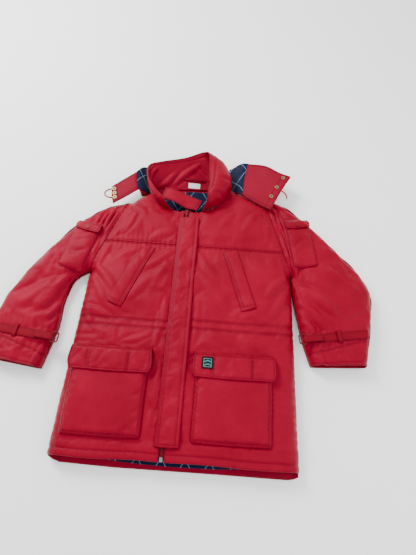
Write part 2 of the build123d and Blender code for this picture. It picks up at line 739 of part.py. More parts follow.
STRAP_LOW = TOP + 0.2
STRAP_HIGH = STRAP_LOW + STRAP_THICK


def make_cuff_strap(side):
    """The strap across the cuff, and the keeper that it runs through."""
    plane, length = strap_frame(side)
    half = STRAP_WIDTH / 2
    start = 14.0  # inside the rounded outer edge
    with BuildPart() as cuff_strap:
        add(plane.location * block((start, -half, STRAP_LOW), (length - 34, half, STRAP_HIGH)))
    save(cuff_strap, f"cuff_strap_{side}")
    middle = KEEPER_AT[side] * length
    wide, tall = KEEPER_WIDTH / 2, KEEPER_LENGTH / 2
    outer = block((middle - wide, -tall, TOP), (middle + wide, tall, STRAP_HIGH + 2.4))
    slot = block(
        (middle - 2 * wide, -half - 0.5, TOP - 1), (middle + 2 * wide, half + 0.5, STRAP_HIGH + 0.5)
    )
    with BuildPart() as cuff_keeper:
        add(plane.location * outer)
        add(plane.location * slot, mode=Mode.SUBTRACT)
    save(cuff_keeper, f"cuff_keeper_{side}")


def looped_tab(foot, bar_x, bar_z):
    """A tab from its sewn foot to the eye round the ring's bar, in the strap's frame."""
    bore, wall = RING_ROD + 0.08, 1.8
    with BuildPart() as tab:
        with BuildSketch(Plane.XZ.offset(-TAB_WIDTH / 2)):
            with Locations((bar_x, bar_z)):
                Circle(bore + wall)
            with BuildLine():
                Polyline(
                    (bar_x, bar_z + bore + wall), (foot, STRAP_HIGH + 3.4), (foot, STRAP_HIGH + 0.4),
                    (bar_x, bar_z - bore - wall), close=True,
                )
            make_face()
            with Locations((bar_x, bar_z)):
                Circle(bore, mode=Mode.SUBTRACT)
        extrude(amount=TAB_WIDTH)
    return tab.part


def make_cuff_ring(side):
    """The D-ring at the strap's inner end, and the looped tab that its bar turns in."""
    plane, length = strap_frame(side)
    bar_x, bar_z = length + 4.0, STRAP_LOW + 5.6
    with BuildPart() as cuff_tab:
        add(plane.location * looped_tab(length - 46, bar_x, bar_z))
    save(cuff_tab, f"cuff_tab_{side}")
    reach = RING_LENGTH / 2 - RING_ROD
    bow = 0.72 * reach
    corners = [
        (bar_x, -reach, bar_z), (bar_x + RING_DEPTH, -bow, bar_z),
        (bar_x + RING_DEPTH, bow, bar_z), (bar_x, reach, bar_z),
    ]
    placed = [plane.from_local_coords(corner) for corner in corners]
    with BuildPart() as cuff_ring:
        with BuildLine() as path:
            FilletPolyline(*placed, radius=3.6, close=True)
        with BuildSketch(Plane(origin=path.line @ 0, z_dir=path.line % 0)):
            Circle(RING_ROD)
        sweep(path=path.line)
    save(cuff_ring, f"cuff_ring_{side}")


os.makedirs("parts", exist_ok=True)
make_fronts()
make_back()
make_front_linings()
make_hem_facing()
make_chain()
make_slider()
make_pull()
make_storm_flap()
make_badge()
make_chest_pockets()
make_collar()
make_neck_label()
make_hanger_loop()
make_inner_wind_flap()
make_hood_shell()
make_hood_lining()
make_hood_eyelets()
for wearer_side in SIDES:
    make_cargo_pocket(wearer_side)
    make_cargo_flap(wearer_side)
    make_hood_facing(wearer_side)
    make_hood_cord(wearer_side)
    make_sleeve_cloth(wearer_side)
    make_sleeve_pocket(wearer_side)
    make_sleeve_flap(wearer_side)
    make_cuff_strap(wearer_side)
    make_cuff_ring(wearer_side)
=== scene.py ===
"""A padded red foul weather jacket lying on a pale floor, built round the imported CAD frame.

Lengths are in millimetres until a mesh or a curve is made. "Right" and "left" are the wearer's.
"""

from math import cos, hypot, pi, radians, sin

import bmesh
import bpy
import numpy as np
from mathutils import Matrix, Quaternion, Vector
from mathutils.bvhtree import BVHTree


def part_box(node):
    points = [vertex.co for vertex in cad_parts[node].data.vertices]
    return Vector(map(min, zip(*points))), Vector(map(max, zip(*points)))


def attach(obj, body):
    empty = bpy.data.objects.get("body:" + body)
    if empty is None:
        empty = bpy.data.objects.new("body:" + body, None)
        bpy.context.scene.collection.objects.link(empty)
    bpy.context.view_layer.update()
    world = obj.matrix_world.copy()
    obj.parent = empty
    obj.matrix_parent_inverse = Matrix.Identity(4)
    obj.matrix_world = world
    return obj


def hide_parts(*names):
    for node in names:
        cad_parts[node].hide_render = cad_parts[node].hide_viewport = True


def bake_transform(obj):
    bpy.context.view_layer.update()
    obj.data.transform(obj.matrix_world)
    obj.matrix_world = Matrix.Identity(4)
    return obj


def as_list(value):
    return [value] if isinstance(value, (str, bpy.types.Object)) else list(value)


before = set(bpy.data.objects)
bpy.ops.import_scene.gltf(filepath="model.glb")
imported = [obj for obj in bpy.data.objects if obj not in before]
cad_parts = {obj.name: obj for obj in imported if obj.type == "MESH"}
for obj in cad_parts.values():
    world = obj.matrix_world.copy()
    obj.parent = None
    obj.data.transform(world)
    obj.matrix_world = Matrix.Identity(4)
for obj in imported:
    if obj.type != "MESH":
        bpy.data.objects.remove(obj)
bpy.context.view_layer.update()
MM = 0.001
SIDES = ("right", "left")
OUT = {"right": -1.0, "left": 1.0}


def box_mm(node):
    """A node's lowest and highest corners in millimetres."""
    low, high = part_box(node)
    return np.array(low) / MM, np.array(high) / MM


# ---- camera -------------------------------------------------------------------------------------
def aim(obj, target, roll=0.0):
    """Points a camera or a light at a place."""
    obj.rotation_mode = "QUATERNION"
    look = (Vector(target) - obj.location).to_track_quat("-Z", "Y")
    obj.rotation_quaternion = look @ Quaternion((0, 0, 1), radians(roll))


CAMERA_LENS, CAMERA_AT, CAMERA_AIM, CAMERA_ROLL = 27.9, Vector((53, -540, 1202)), Vector((53, 0, 45)), 4.3
camera_data = bpy.data.cameras.new("camera")
camera_data.sensor_width, camera_data.lens = 36.0, CAMERA_LENS
camera = bpy.data.objects.new("camera", camera_data)
bpy.context.collection.objects.link(camera)
camera.location = CAMERA_AT * MM
aim(camera, CAMERA_AIM * MM, CAMERA_ROLL)
bpy.context.scene.camera = camera

# ---- driving dimensions, as in the CAD -----------------------------------------------------------
BODY_LOW, BODY_HIGH = box_mm("back_panel"), box_mm("front_yoke_right")
TOP = BODY_HIGH[1][2]  # upper face of the fronts
SEAM_Z = 13.0  # height of the closed side, shoulder and sleeve seams
ROUND_OVER = 36  # plan width over which the padded cloth rises from a closed seam
CURL_REACH = 26  # plan width over which the lower cloth curls up to a closed seam
DIAMOND, DIAMOND_LEAN = 62.0, 0.62  # the lining's printed and stitched diamonds
HALF_HEM, HALF_CHEST = 318.0, 303.0
HEM_Y = box_mm("front_panel_right")[0][1]
BACK_HEM_Y = BODY_LOW[0][1]
YOKE_Y = box_mm("front_panel_right")[1][1]
NEAR_ZIP, FAR_ZIP = box_mm("front_panel_right")[1][0], box_mm("front_panel_left")[0][0]
ARMPIT = {"right": (-HALF_CHEST, 8.0), "left": (HALF_CHEST, 30.0)}
SHOULDER = {"right": (-218.0, 256.0), "left": (212.0, 304.0)}
NECK_SIDE = {"right": (-156.0, 300.0), "left": (100.0, 338.0)}
NAPE = (-28.0, 334.0)
NECK_MIDDLE, NECK_HALF, NECK_DROP = (-28.0, 330.0), 128.0, 108.0
OUTER_LINE = {
    "right": [
        (-218, 256), (-278, 234), (-350, 180), (-430, 78),
        (-488, -15), (-524, -95), (-544, -180), (-542, -278),
    ],
    "left": [
        (212, 304), (268, 290), (349, 230), (440, 137),
        (512, 55), (541, -5), (538, -80), (514, -228),
    ],
}
INNER_LINE = {
    "right": [(-303, 8), (-340, -22), (-360, -90), (-362, -180), (-386, -298)],
    "left": [(303, 30), (316, -60), (327, -120), (340, -180), (359, -238)],
}
WELT_FOOT = {"right": (-210.0, -107.0), "left": (176.0, -95.0)}
WELT_LEAN = {"right": -20.5, "left": 18.5}
SWING_LEAN = {"right": 10.0, "left": 3.0}
POCKET_TOP = {"right": (-324.0, 157.0), "left": (318.0, 222.0)}
POCKET_LEAN = {"right": -13.0, "left": 10.0}
STRAP_LINE = {"right": [(-541, -196), (-366, -216)], "left": [(527, -138), (341, -169)]}
KEEPER_AT = {"right": 0.42, "left": 0.5}
CORD_Z = 53.5
CORD_DIAMETER = 4.5
CORD_ROUTE = {
    "right": [
        (-277.0, 285.5, CORD_Z), (-290.8, 282.9, CORD_Z), (-301.0, 264.5, CORD_Z),
        (-284.5, 249.9, CORD_Z), (-270.75, 252.5, CORD_Z),
    ],
    "left": [
        (272.0, 327.0, CORD_Z), (281.0, 322.3, CORD_Z), (289.0, 310.0, CORD_Z - 2.0),
        (290.0, 301.0, CORD_Z - 4.5),
    ],
}


# ---- materials ----------------------------------------------------------------------------------
class Wire:
    """A shader node's output, on which arithmetic makes Math nodes."""

    def __init__(self, tree, socket):
        self.tree, self.socket = tree, socket

    def math(self, operation, other=None):
        node = self.tree.nodes.new("ShaderNodeMath")
        node.operation = operation
        self.tree.links.new(self.socket, node.inputs[0])
        if isinstance(other, Wire):
            self.tree.links.new(other.socket, node.inputs[1])
        elif other is not None:
            node.inputs[1].default_value = other
        return Wire(self.tree, node.outputs[0])

    def __add__(self, other):
        return self.math("ADD", other)

    def __sub__(self, other):
        return self.math("SUBTRACT", other)

    def __mul__(self, other):
        return self.math("MULTIPLY", other)

    def __truediv__(self, other):
        return self.math("DIVIDE", other)

    def part(self, k):
        """One coordinate of a vector."""
        node = self.tree.nodes.new("ShaderNodeSeparateXYZ")
        self.tree.links.new(self.socket, node.inputs[0])
        return Wire(self.tree, node.outputs[k])


class Look:
    """A material while it is built."""

    def __init__(self, name, roughness, metallic=0.0):
        self.made = bpy.data.materials.new(name)
        self.made.use_nodes = True
        self.tree = self.made.node_tree
        self.place = self.node("TexCoord", "Object", {})
        self.shade({"Roughness": roughness, "Metallic": metallic})

    def feed(self, node, inputs):
        """Sets a node's inputs, each to a wire, a number or a colour."""
        for key, value in inputs.items():
            socket = node.inputs[key]
            if isinstance(value, Wire):
                self.tree.links.new(value.socket, socket)
            else:
                socket.default_value = (*value, 1) if socket.type == "RGBA" else value

    def node(self, kind, output, inputs, **settings):
        node = self.tree.nodes.new("ShaderNode" + kind)
        for key, value in settings.items():
            setattr(node, key, value)
        self.feed(node, inputs)
        return Wire(self.tree, node.outputs[output])

    def shade(self, inputs):
        self.feed(self.tree.nodes["Principled BSDF"], inputs)

    def noise(self, scale, detail=3.0, rough=0.55):
        inputs = {"Scale": scale, "Detail": detail, "Roughness": rough, "Vector": self.place}
        return self.node("TexNoise", "Fac", inputs)

    def threads(self, pitch, axis, turn=0.0):
        """Parallel threads of one pitch in millimetres along an axis."""
        turned = self.node("Mapping", "Vector", {"Rotation": (0, 0, radians(turn)), "Vector": self.place})
        inputs = {"Scale": 2 * pi / (20 * pitch * MM), "Distortion": 0.6, "Detail": 1.0, "Vector": turned}
        return self.node("TexWave", "Fac", inputs, wave_type="BANDS", bands_direction=axis)

    def ramp(self, value, dark, light, margin=0.3):
        """A colour between two, by a value from 0 to 1."""
        colour = self.node("ValToRGB", "Color", {"Fac": value})
        stops = colour.socket.node.color_ramp.elements
        for element, at, stop in zip(stops, (margin, 1 - margin), (dark, light)):
            element.position, element.color = at, (*stop, 1)
        return colour

    def mix(self, share, a, b):
        return self.node("Mix", 2, {0: share, 6: a, 7: b}, data_type="RGBA")

    def bump(self, height, strength, distance):
        inputs = {"Strength": strength, "Distance": distance * MM, "Height": height}
        self.shade({"Normal": self.node("Bump", "Normal", inputs)})


def dimmed(colour, share):
    return tuple(share * c for c in colour)


def woven(name, dark, light, roughness, sheen, tint, pitch=0.9, relief=0.25, turn=0.0):
    """Woven cloth: two sets of threads, small slubs, colour that varies at random, and painted shade that
    darkens it along seams and stitch grooves.
    """
    look = Look(name, roughness)
    weave = look.threads(pitch, "X", turn) + look.threads(pitch * 1.15, "Y", turn)
    broad, fine = look.noise(9.0, 4.0), look.noise(420.0, 2.0)
    speckled = look.mix(fine * 0.22, look.ramp(broad, dark, light), dimmed(dark, 0.55))
    # seam is painted shade: the base colour darkens towards half the dark red at turned edges and in stitch
    # grooves
    seam = look.node("Attribute", "Fac", {}, attribute_name="seam")  # 1 at a sewn edge or a stitch line
    look.shade({
        "Base Color": look.mix(seam * 0.5, speckled, dimmed(dark, 0.5)),
        "Roughness": broad * 0.16 + (roughness - 0.08),
        "Specular IOR Level": 0.17, "Specular Tint": tint,
        "Sheen Weight": sheen, "Sheen Roughness": 0.35, "Sheen Tint": tint,
    })
    look.bump(weave * 0.5 + fine * 0.8, 0.5, relief)
    return look.made


def quilted(name, ground, line):
    """Printed lining: a dark woven ground with thin pale lines that cross in diamonds."""
    look = Look(name, 0.62)
    strokes = []
    for sign in (1.0, -1.0):
        lean = look.place.part(0) + look.place.part(1) * (sign * DIAMOND_LEAN)
        near = ((lean / (DIAMOND * MM)).math("FRACT") - 0.5).math("ABSOLUTE")
        strokes.append(near.math("LESS_THAN", 0.65 / DIAMOND))
    cloth = look.ramp(look.noise(14.0), dimmed(ground, 0.7), ground)
    look.shade({
        "Base Color": look.mix(strokes[0].math("MAXIMUM", strokes[1]), cloth, line),
        "Specular IOR Level": 0.08, "Sheen Weight": 0.03,
    })
    look.bump(look.threads(0.8, "X") + look.threads(0.8, "Y"), 0.4, 0.2)
    return look.made


def moulded(name, dark, light, roughness, metallic=0.0, bore_shade=0.0):
    """Moulded plastic or worked metal: mottling, fine grain, and painted shade that darkens upright walls and
    bores almost to black.
    """
    look = Look(name, roughness, metallic)
    broad, fine = look.noise(60.0, 5.0), look.noise(300.0, 6.0, 0.7)
    # painted shade: faces that stand upright, the eyelets' walls and bores among them, darken almost to black
    # by the last number
    upright = look.node("TexCoord", "Normal", {}).part(2).math("ABSOLUTE").math("LESS_THAN", 0.5)
    look.shade({
        "Base Color": look.mix(upright * bore_shade, look.ramp(broad, dark, light), (0.004, 0.004, 0.004)),
        "Roughness": fine * 0.25 + (roughness - 0.1),
        "Specular IOR Level": 0.5 if metallic > 0.5 else 0.14,
    })
    look.bump(fine, 0.4, 0.08)
    return look.made


def badge_material():
    """A generic patch: a dark border and a grey frame round a dark field with teal wavy bands."""
    look = Look("badge", 0.6)
    low, high = box_mm("flap_badge")
    across, up = ((look.place.part(k) - low[k] * MM) / ((high - low)[k] * MM) for k in (0, 1))
    edge = (across - 0.5).math("ABSOLUTE").math("MAXIMUM", (up - 0.5).math("ABSOLUTE"))
    bands = ((up + (across * 9.0).math("SINE") * 0.05) * 3.6).math("FRACT")
    field = look.mix(bands.math("LESS_THAN", 0.42), (0.004, 0.006, 0.007), (0.03, 0.19, 0.18))
    framed = look.mix(edge.math("GREATER_THAN", 0.31), field, (0.14, 0.16, 0.16))
    bordered = look.mix(edge.math("GREATER_THAN", 0.36), framed, (0.004, 0.004, 0.005))
    look.shade({"Base Color": bordered, "Specular IOR Level": 0.08})
    look.bump(look.threads(0.7, "X") + look.threads(0.7, "Y"), 0.6, 0.2)
    return look.made


RED_DARK, RED_LIGHT = (0.175, 0.0003, 0.0085), (0.248, 0.0006, 0.0150)
NAVY = (0.002, 0.007, 0.034)
CLOTHS = {  # dark, light, roughness, sheen, tint, then thread pitch, relief and turn where they differ
    "shell_cloth": (RED_DARK, RED_LIGHT, 0.42, 0.04, (1.0, 0.25, 0.5)),
    "facing_cloth": ((0.165, 0.0025, 0.013), (0.22, 0.0035, 0.018), 0.6, 0.05, (1.0, 0.3, 0.5)),
    "webbing": ((0.13, 0.0005, 0.006), (0.18, 0.001, 0.010), 0.6, 0.04, (1.0, 0.3, 0.45), 1.6, 0.5),
    "zip_tape": ((0.20, 0.006, 0.014), (0.28, 0.008, 0.020), 0.7, 0.1, (1, 0.6, 0.6), 1.2, 0.3),
    "touch_tape": ((0.16, 0.006, 0.012), (0.24, 0.008, 0.018), 0.9, 0.5, (1, 0.6, 0.6), 1.4, 1.2),
    "thread": ((0.15, 0.0015, 0.006), (0.20, 0.002, 0.009), 0.5, 0.05, (1.0, 0.3, 0.45), 0.5, 0.1),
    "cord": ((0.24, 0.004, 0.012), (0.32, 0.006, 0.016), 0.6, 0.1, (1, 0.3, 0.4), 1.3, 0.6, 45.0),
    "label_cloth": ((0.62, 0.62, 0.58), (0.78, 0.78, 0.74), 0.6, 0.1, (1, 1, 1), 0.6, 0.15),
}
MOULDINGS = {  # dark, light, roughness, then metal and painted bore shade where it has them
    "zip_moulding": ((0.08, 0.002, 0.006), (0.12, 0.004, 0.009), 0.45),
    "zip_metal": ((0.11, 0.003, 0.008), (0.17, 0.006, 0.012), 0.45),
    "box_metal": ((0.20, 0.18, 0.16), (0.30, 0.27, 0.24), 0.35, 0.9),
    "eyelet_metal": ((0.24, 0.17, 0.08), (0.38, 0.28, 0.14), 0.36, 1.0, 0.96),
    "ring_moulding": ((0.075, 0.001, 0.003), (0.11, 0.002, 0.005), 0.45),
    "snap_metal": ((0.11, 0.001, 0.004), (0.16, 0.002, 0.006), 0.4),
}
MATERIAL = {name: woven(name, *look) for name, look in CLOTHS.items()}
MATERIAL |= {name: moulded(name, *look) for name, look in MOULDINGS.items()}
MATERIAL["lining_cloth"] = quilted("lining_cloth", NAVY, (0.20, 0.27, 0.38))
MATERIAL["badge_patch"] = badge_material()

# ---- cords --------------------------------------------------------------------------------------
for side in SIDES:
    line = bpy.data.curves.new(f"hood_cord_{side}", "CURVE")
    line.dimensions = "3D"
    spline = line.splines.new("NURBS")
    spline.points.add(len(CORD_ROUTE[side]) - 1)
    for point, place in zip(spline.points, CORD_ROUTE[side]):
        point.co = (*(c * MM for c in place), 1)
    spline.order_u = 3
    spline.use_endpoint_u = True
    spline.resolution_u = 16
    line.bevel_depth = CORD_DIAMETER / 2 * MM
    line.bevel_resolution = 4
    line.use_fill_caps = True
    hood_cord = bpy.data.objects.new(f"cord_{side}", line)
    bpy.context.collection.objects.link(hood_cord)
    line.materials.append(MATERIAL["cord"])
    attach(hood_cord, "hood_ends")
    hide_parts(f"hood_cord_{side}")


# ---- shapes -------------------------------------------------------------------------------------
def dome(t):
    """Rises from 0 to 1 like the side of a pillow."""
    return np.sqrt(1 - (1 - np.clip(t, 0, 1)) ** 2)


def smooth(t):
    t = np.clip(t, 0, 1)
    return t * t * (3 - 2 * t)


def noise(x, y, size, seed):
    """Smooth bumps between -1 and 1, about one size across."""
    table = np.random.RandomState(seed).uniform(-1, 1, (64, 64))
    p, q = x / size + 1000.5, y / size + 1000.5
    i, j = np.floor(p).astype(int), np.floor(q).astype(int)
    a, b = smooth(p - i), smooth(q - j)
    row = [table[i % 64, k % 64] * (1 - a) + table[(i + 1) % 64, k % 64] * a for k in (j, j + 1)]
    return row[0] * (1 - b) + row[1] * b


def to_segment(x, y, a, b):
    """Distance to a straight run, and the place along it from 0 to 1."""
    dx, dy = b[0] - a[0], b[1] - a[1]
    t = np.clip(((x - a[0]) * dx + (y - a[1]) * dy) / (dx * dx + dy * dy), 0, 1)
    return np.hypot(x - a[0] - t * dx, y - a[1] - t * dy), t


def beside(x, y, a, b):
    """Signed distance from the line through a and b, positive on its left."""
    dx, dy = b[0] - a[0], b[1] - a[1]
    return ((y - a[1]) * dx - (x - a[0]) * dy) / hypot(dx, dy)


def to_path(x, y, points):
    """Distance to a run of points, and the place along it from 0 to 1."""
    best, along = np.full(np.shape(x), 1e9), np.zeros(np.shape(x))
    lengths = [hypot(b[0] - a[0], b[1] - a[1]) for a, b in zip(points, points[1:])]
    done = 0.0
    for a, b, length in zip(points, points[1:], lengths):
        d, t = to_segment(x, y, a, b)
        near = d < best
        best = np.where(near, d, best)
        along = np.where(near, (done + t * length) / sum(lengths), along)
        done += length
    return best, along


def bent(a, b, bow):
    """Points of a shallow arc from a to b that bows to its left by a length."""
    (x0, y0), (x1, y1) = a, b
    run = hypot(x1 - x0, y1 - y0)
    mx, my = (x0 + x1) / 2 - (y1 - y0) / run * bow * 2, (y0 + y1) / 2 + (x1 - x0) / run * bow * 2
    steps = [k / 8 for k in range(9)]
    return [
        ((1 - t) ** 2 * x0 + 2 * t * (1 - t) * mx + t * t * x1,
         (1 - t) ** 2 * y0 + 2 * t * (1 - t) * my + t * t * y1)
        for t in steps
    ]


def folds(x, y, strokes):
    """The height that a set of folds adds: each is (start, end, bow, width, height)."""
    total = np.zeros(np.shape(x))
    for start, end, bow, width, height in strokes:
        d, t = to_path(x, y, bent(start, end, bow))
        q = d / (0.8 * width * (0.55 + 0.45 * np.sin(pi * t)))
        fade = smooth(t / 0.18) * smooth((1 - t) / 0.3)
        total += height * fade * (np.exp(-q * q) - 0.42 * np.exp(-(((q - 1.7) / 0.75) ** 2)))
    return total


def eased(p, at):
    """A smooth curve that is at each point of p at its place from 0 to 1."""
    slope = np.gradient(p, at, axis=0)

    def curve(t):
        i = np.clip(np.searchsorted(at, t, side="right") - 1, 0, len(at) - 2)
        span = (at[i + 1] - at[i])[..., None]
        s = ((t - at[i]) / (at[i + 1] - at[i]))[..., None]
        a, b = p[i], p[i + 1]
        return (
            a * (1 + 2 * s) * (1 - s) ** 2 + b * s * s * (3 - 2 * s)
            + slope[i] * span * s * (1 - s) ** 2 - slope[i + 1] * span * s * s * (1 - s)
        )

    return curve


def through(points, sharp=False):
    """A curve through plan points as a function of 0 to 1, smooth unless sharp."""
    p = np.array(points, float)
    steps = np.hypot(*np.diff(p, axis=0).T)
    at = np.concatenate([[0], np.cumsum(steps)]) / steps.sum()
    if sharp or len(p) == 2:
        return lambda t: np.stack([np.interp(t, at, p[:, k]) for k in (0, 1)], -1)
    return eased(p, at)


def grid_lines(length, step, low=(), high=(), edge=2.5):
    """Places from 0 to 1 across a rough length, closer at the edges and at stitch lines from either end."""
    marks = {0.0, edge * 0.12, edge * 0.45, edge}
    ends = set(marks)
    for at in low:
        marks |= {at - 1.6, at, at + 1.6}
    for at in high:
        ends |= {at - 1.6, at, at + 1.6}
    known = sorted(marks | {length - at for at in ends})
    kept = [known[0]]
    for at in known[1:]:
        if at - kept[-1] > 0.2:
            kept.append(at)
    lines = [0.0]
    for a, b in zip(kept, kept[1:]):
        parts = max(1, int(round((b - a) / step)))
        lines += [a + (b - a) * (k + 1) / parts for k in range(parts)]
    return np.array(lines) / length


def coons(bottom, top, left, right, u, v):
    """A plan grid between four border curves; rows follow v and columns follow u."""
    b, t, le, r = bottom(u)[None], top(u)[None], left(v)[:, None], right(v)[:, None]
    uu, vv = u[None, :, None], v[:, None, None]
    corners = (
        (1 - uu) * (1 - vv) * b[:, :1] + uu * (1 - vv) * b[:, -1:]
        + (1 - uu) * vv * t[:, :1] + uu * vv * t[:, -1:]
    )
    return (1 - vv) * b + vv * t + (1 - uu) * le + uu * r - corners


def edge_distances(p):
    """For each grid point, the lengths along the grid to the four borders."""
    across = np.linalg.norm(np.diff(p, axis=1), axis=2)
    along = np.linalg.norm(np.diff(p, axis=0), axis=2)
    left = np.concatenate([np.zeros((len(p), 1)), np.cumsum(across, axis=1)], axis=1)
    low = np.concatenate([np.zeros((1, p.shape[1])), np.cumsum(along, axis=0)], axis=0)
    return {"left": left, "right": left[:, -1:] - left, "bottom": low, "top": low[-1:] - low}


def to_border(d):
    """The shortest of the four lengths to a grid's borders."""
    return np.minimum.reduce(list(d.values()))


def normals(p):
    """Unit normals of a grid of points."""
    n = np.cross(np.gradient(p, axis=1), np.gradient(p, axis=0))
    return n / np.maximum(np.linalg.norm(n, axis=2, keepdims=True), 1e-9)


def face_up(p, rows=False):
    """The grid, with its columns or its rows turned round if its middle faces down."""
    if normals(p)[len(p) // 2, p.shape[1] // 2, 2] >= 0:
        return p
    return p[::-1] if rows else p[:, ::-1]


def quads_of(ids):
    """The faces of a grid of vertex numbers."""
    return np.stack([ids[:-1, :-1], ids[:-1, 1:], ids[1:, 1:], ids[1:, :-1]], -1).reshape(-1, 4)


def closed_grid(p, thick, soft=2.5, grooves=None, both=False):
    """Vertices and faces of a cloth of some thickness round a grid, its edges turned in."""
    m, n = p.shape[:2]
    d = edge_distances(p)
    near = to_border(d)
    half = thick / 2 * dome(near / soft)
    way = normals(p)
    upper = p + way * half[..., None]
    lower = p - way * half[..., None]
    # shade is painted shade: it darkens the cloth at its turned-in edges and in its stitch grooves, where shade
    # falls, and goes out as the seam attribute
    shade = np.exp(-near / 2.2)
    if grooves is not None:
        upper = upper - way * grooves[..., None]
        if both:
            lower = lower + way * grooves[..., None]
        shade = np.maximum(shade, np.clip(grooves / max(grooves.max(), 1e-6), 0, 1))
    inner = np.zeros((m, n), bool)
    inner[1:-1, 1:-1] = True
    top_id = np.arange(m * n).reshape(m, n)
    low_id = top_id.copy()
    low_id[inner] = m * n + np.arange(inner.sum())
    verts = np.concatenate([upper.reshape(-1, 3), lower[inner]])
    seam = np.concatenate([shade.reshape(-1), shade[inner]])
    quads = np.concatenate([quads_of(top_id), quads_of(low_id)[:, ::-1]])
    return verts, quads, seam, upper, lower


def stitch_marks(lines):
    """Small closed thread beads along runs of 3-D points."""
    gap, length, radius = 3.4, 2.3, 0.42
    verts, faces = [], []
    for run in lines:
        run = np.asarray(run, float)
        at = np.concatenate([[0], np.cumsum(np.linalg.norm(np.diff(run, axis=0), axis=1))])
        if at[-1] < 2 * gap:
            continue
        starts = np.arange(gap / 2, at[-1] - length, gap)
        a = np.stack([np.interp(starts, at, run[:, k]) for k in range(3)], -1)
        b = np.stack([np.interp(starts + length, at, run[:, k]) for k in range(3)], -1)
        way = (b - a) / np.maximum(np.linalg.norm(b - a, axis=1, keepdims=True), 1e-9)
        side = np.cross(way, (0, 0, 1.0))
        side = side / np.maximum(np.linalg.norm(side, axis=1, keepdims=True), 1e-9) * radius
        rise = np.cross(side, way)
        mid = (a + b) / 2
        for k in range(len(a)):
            base = len(verts)
            verts += [a[k], b[k], mid[k] + side[k], mid[k] + rise[k], mid[k] - side[k], mid[k] - rise[k]]
            for i in range(4):
                p, q = base + 2 + i, base + 2 + (i + 1) % 4
                faces += [(base, q, p), (base + 1, p, q)]
    return verts, faces


def make_object(name, verts, faces, slot, seam=None, extra=None):
    """An object from millimetre vertices; extra is (vertices, faces) of its stitches."""
    verts = np.asarray(verts, float) * MM
    faces = [tuple(int(i) for i in f) for f in faces]
    count = len(faces)
    if extra and extra[0]:
        base = len(verts)
        verts = np.concatenate([verts, np.asarray(extra[0], float) * MM])
        faces += [tuple(int(i) + base for i in f) for f in extra[1]]
    mesh = bpy.data.meshes.new(name)
    mesh.from_pydata([tuple(v) for v in verts], [], faces)
    mesh.materials.append(MATERIAL[slot])
    if len(faces) > count:
        mesh.materials.append(MATERIAL["thread"])
        index = np.zeros(len(faces), np.int32)
        index[count:] = 1
        mesh.polygons.foreach_set("material_index", index)
    mesh.polygons.foreach_set("use_smooth", [True] * len(faces))
    # the seam attribute holds the painted shade of turned edges and stitch grooves
    if seam is not None:
        values = np.zeros(len(verts), np.float32)
        values[: len(seam)] = seam
        mesh.attributes.new("seam", "FLOAT", "POINT").data.foreach_set("value", values)
    mesh.update()
    made = bpy.data.objects.new(name, mesh)
    bpy.context.collection.objects.link(made)
    return made


def settle(name, p, pinned, spread, cap):
    """Lets cloth that is cut too large by a share (spread) buckle between its pinned seams, up to a cap."""
    m, n = p.shape[:2]
    ids = np.arange(m * n).reshape(m, n)
    mesh = bpy.data.meshes.new("settling")
    mesh.from_pydata([tuple(v) for v in p.reshape(-1, 3) * MM], [], quads_of(ids).tolist())
    cloth = bpy.data.objects.new("settling", mesh)
    bpy.context.collection.objects.link(cloth)
    group = cloth.vertex_groups.new(name="pinned")
    weight = pinned.reshape(-1)
    for i in np.nonzero(weight > 0.01)[0]:
        group.add([int(i)], float(weight[i]), "REPLACE")
    modifier = cloth.modifiers.new("cloth", "CLOTH")
    s = modifier.settings
    s.vertex_group_mass = "pinned"
    s.quality = 6
    s.mass = 0.25
    s.tension_stiffness = s.compression_stiffness = 18
    s.shear_stiffness = 6
    s.bending_stiffness = 0.35
    s.use_pressure = True
    s.uniform_pressure_force = 0.6
    s.shrink_min = -spread
    s.effector_weights.gravity = 0
    modifier.collision_settings.use_collision = False
    modifier.collision_settings.use_self_collision = False
    modifier.point_cache.frame_start, modifier.point_cache.frame_end = 1, 20
    scene = bpy.context.scene
    for step in range(1, 21):
        scene.frame_set(step)
    found = cloth.evaluated_get(bpy.context.evaluated_depsgraph_get()).to_mesh()
    moved = np.array([v.co for v in found.vertices]).reshape(m, n, 3) / MM - p
    scene.frame_set(1)
    bpy.data.objects.remove(cloth)
    size = np.linalg.norm(moved, axis=2, keepdims=True)
    print(f"settled {name}: largest move {float(size.max()):.1f} mm")
    return p + moved * np.minimum(1, cap / np.maximum(size, 1e-6))


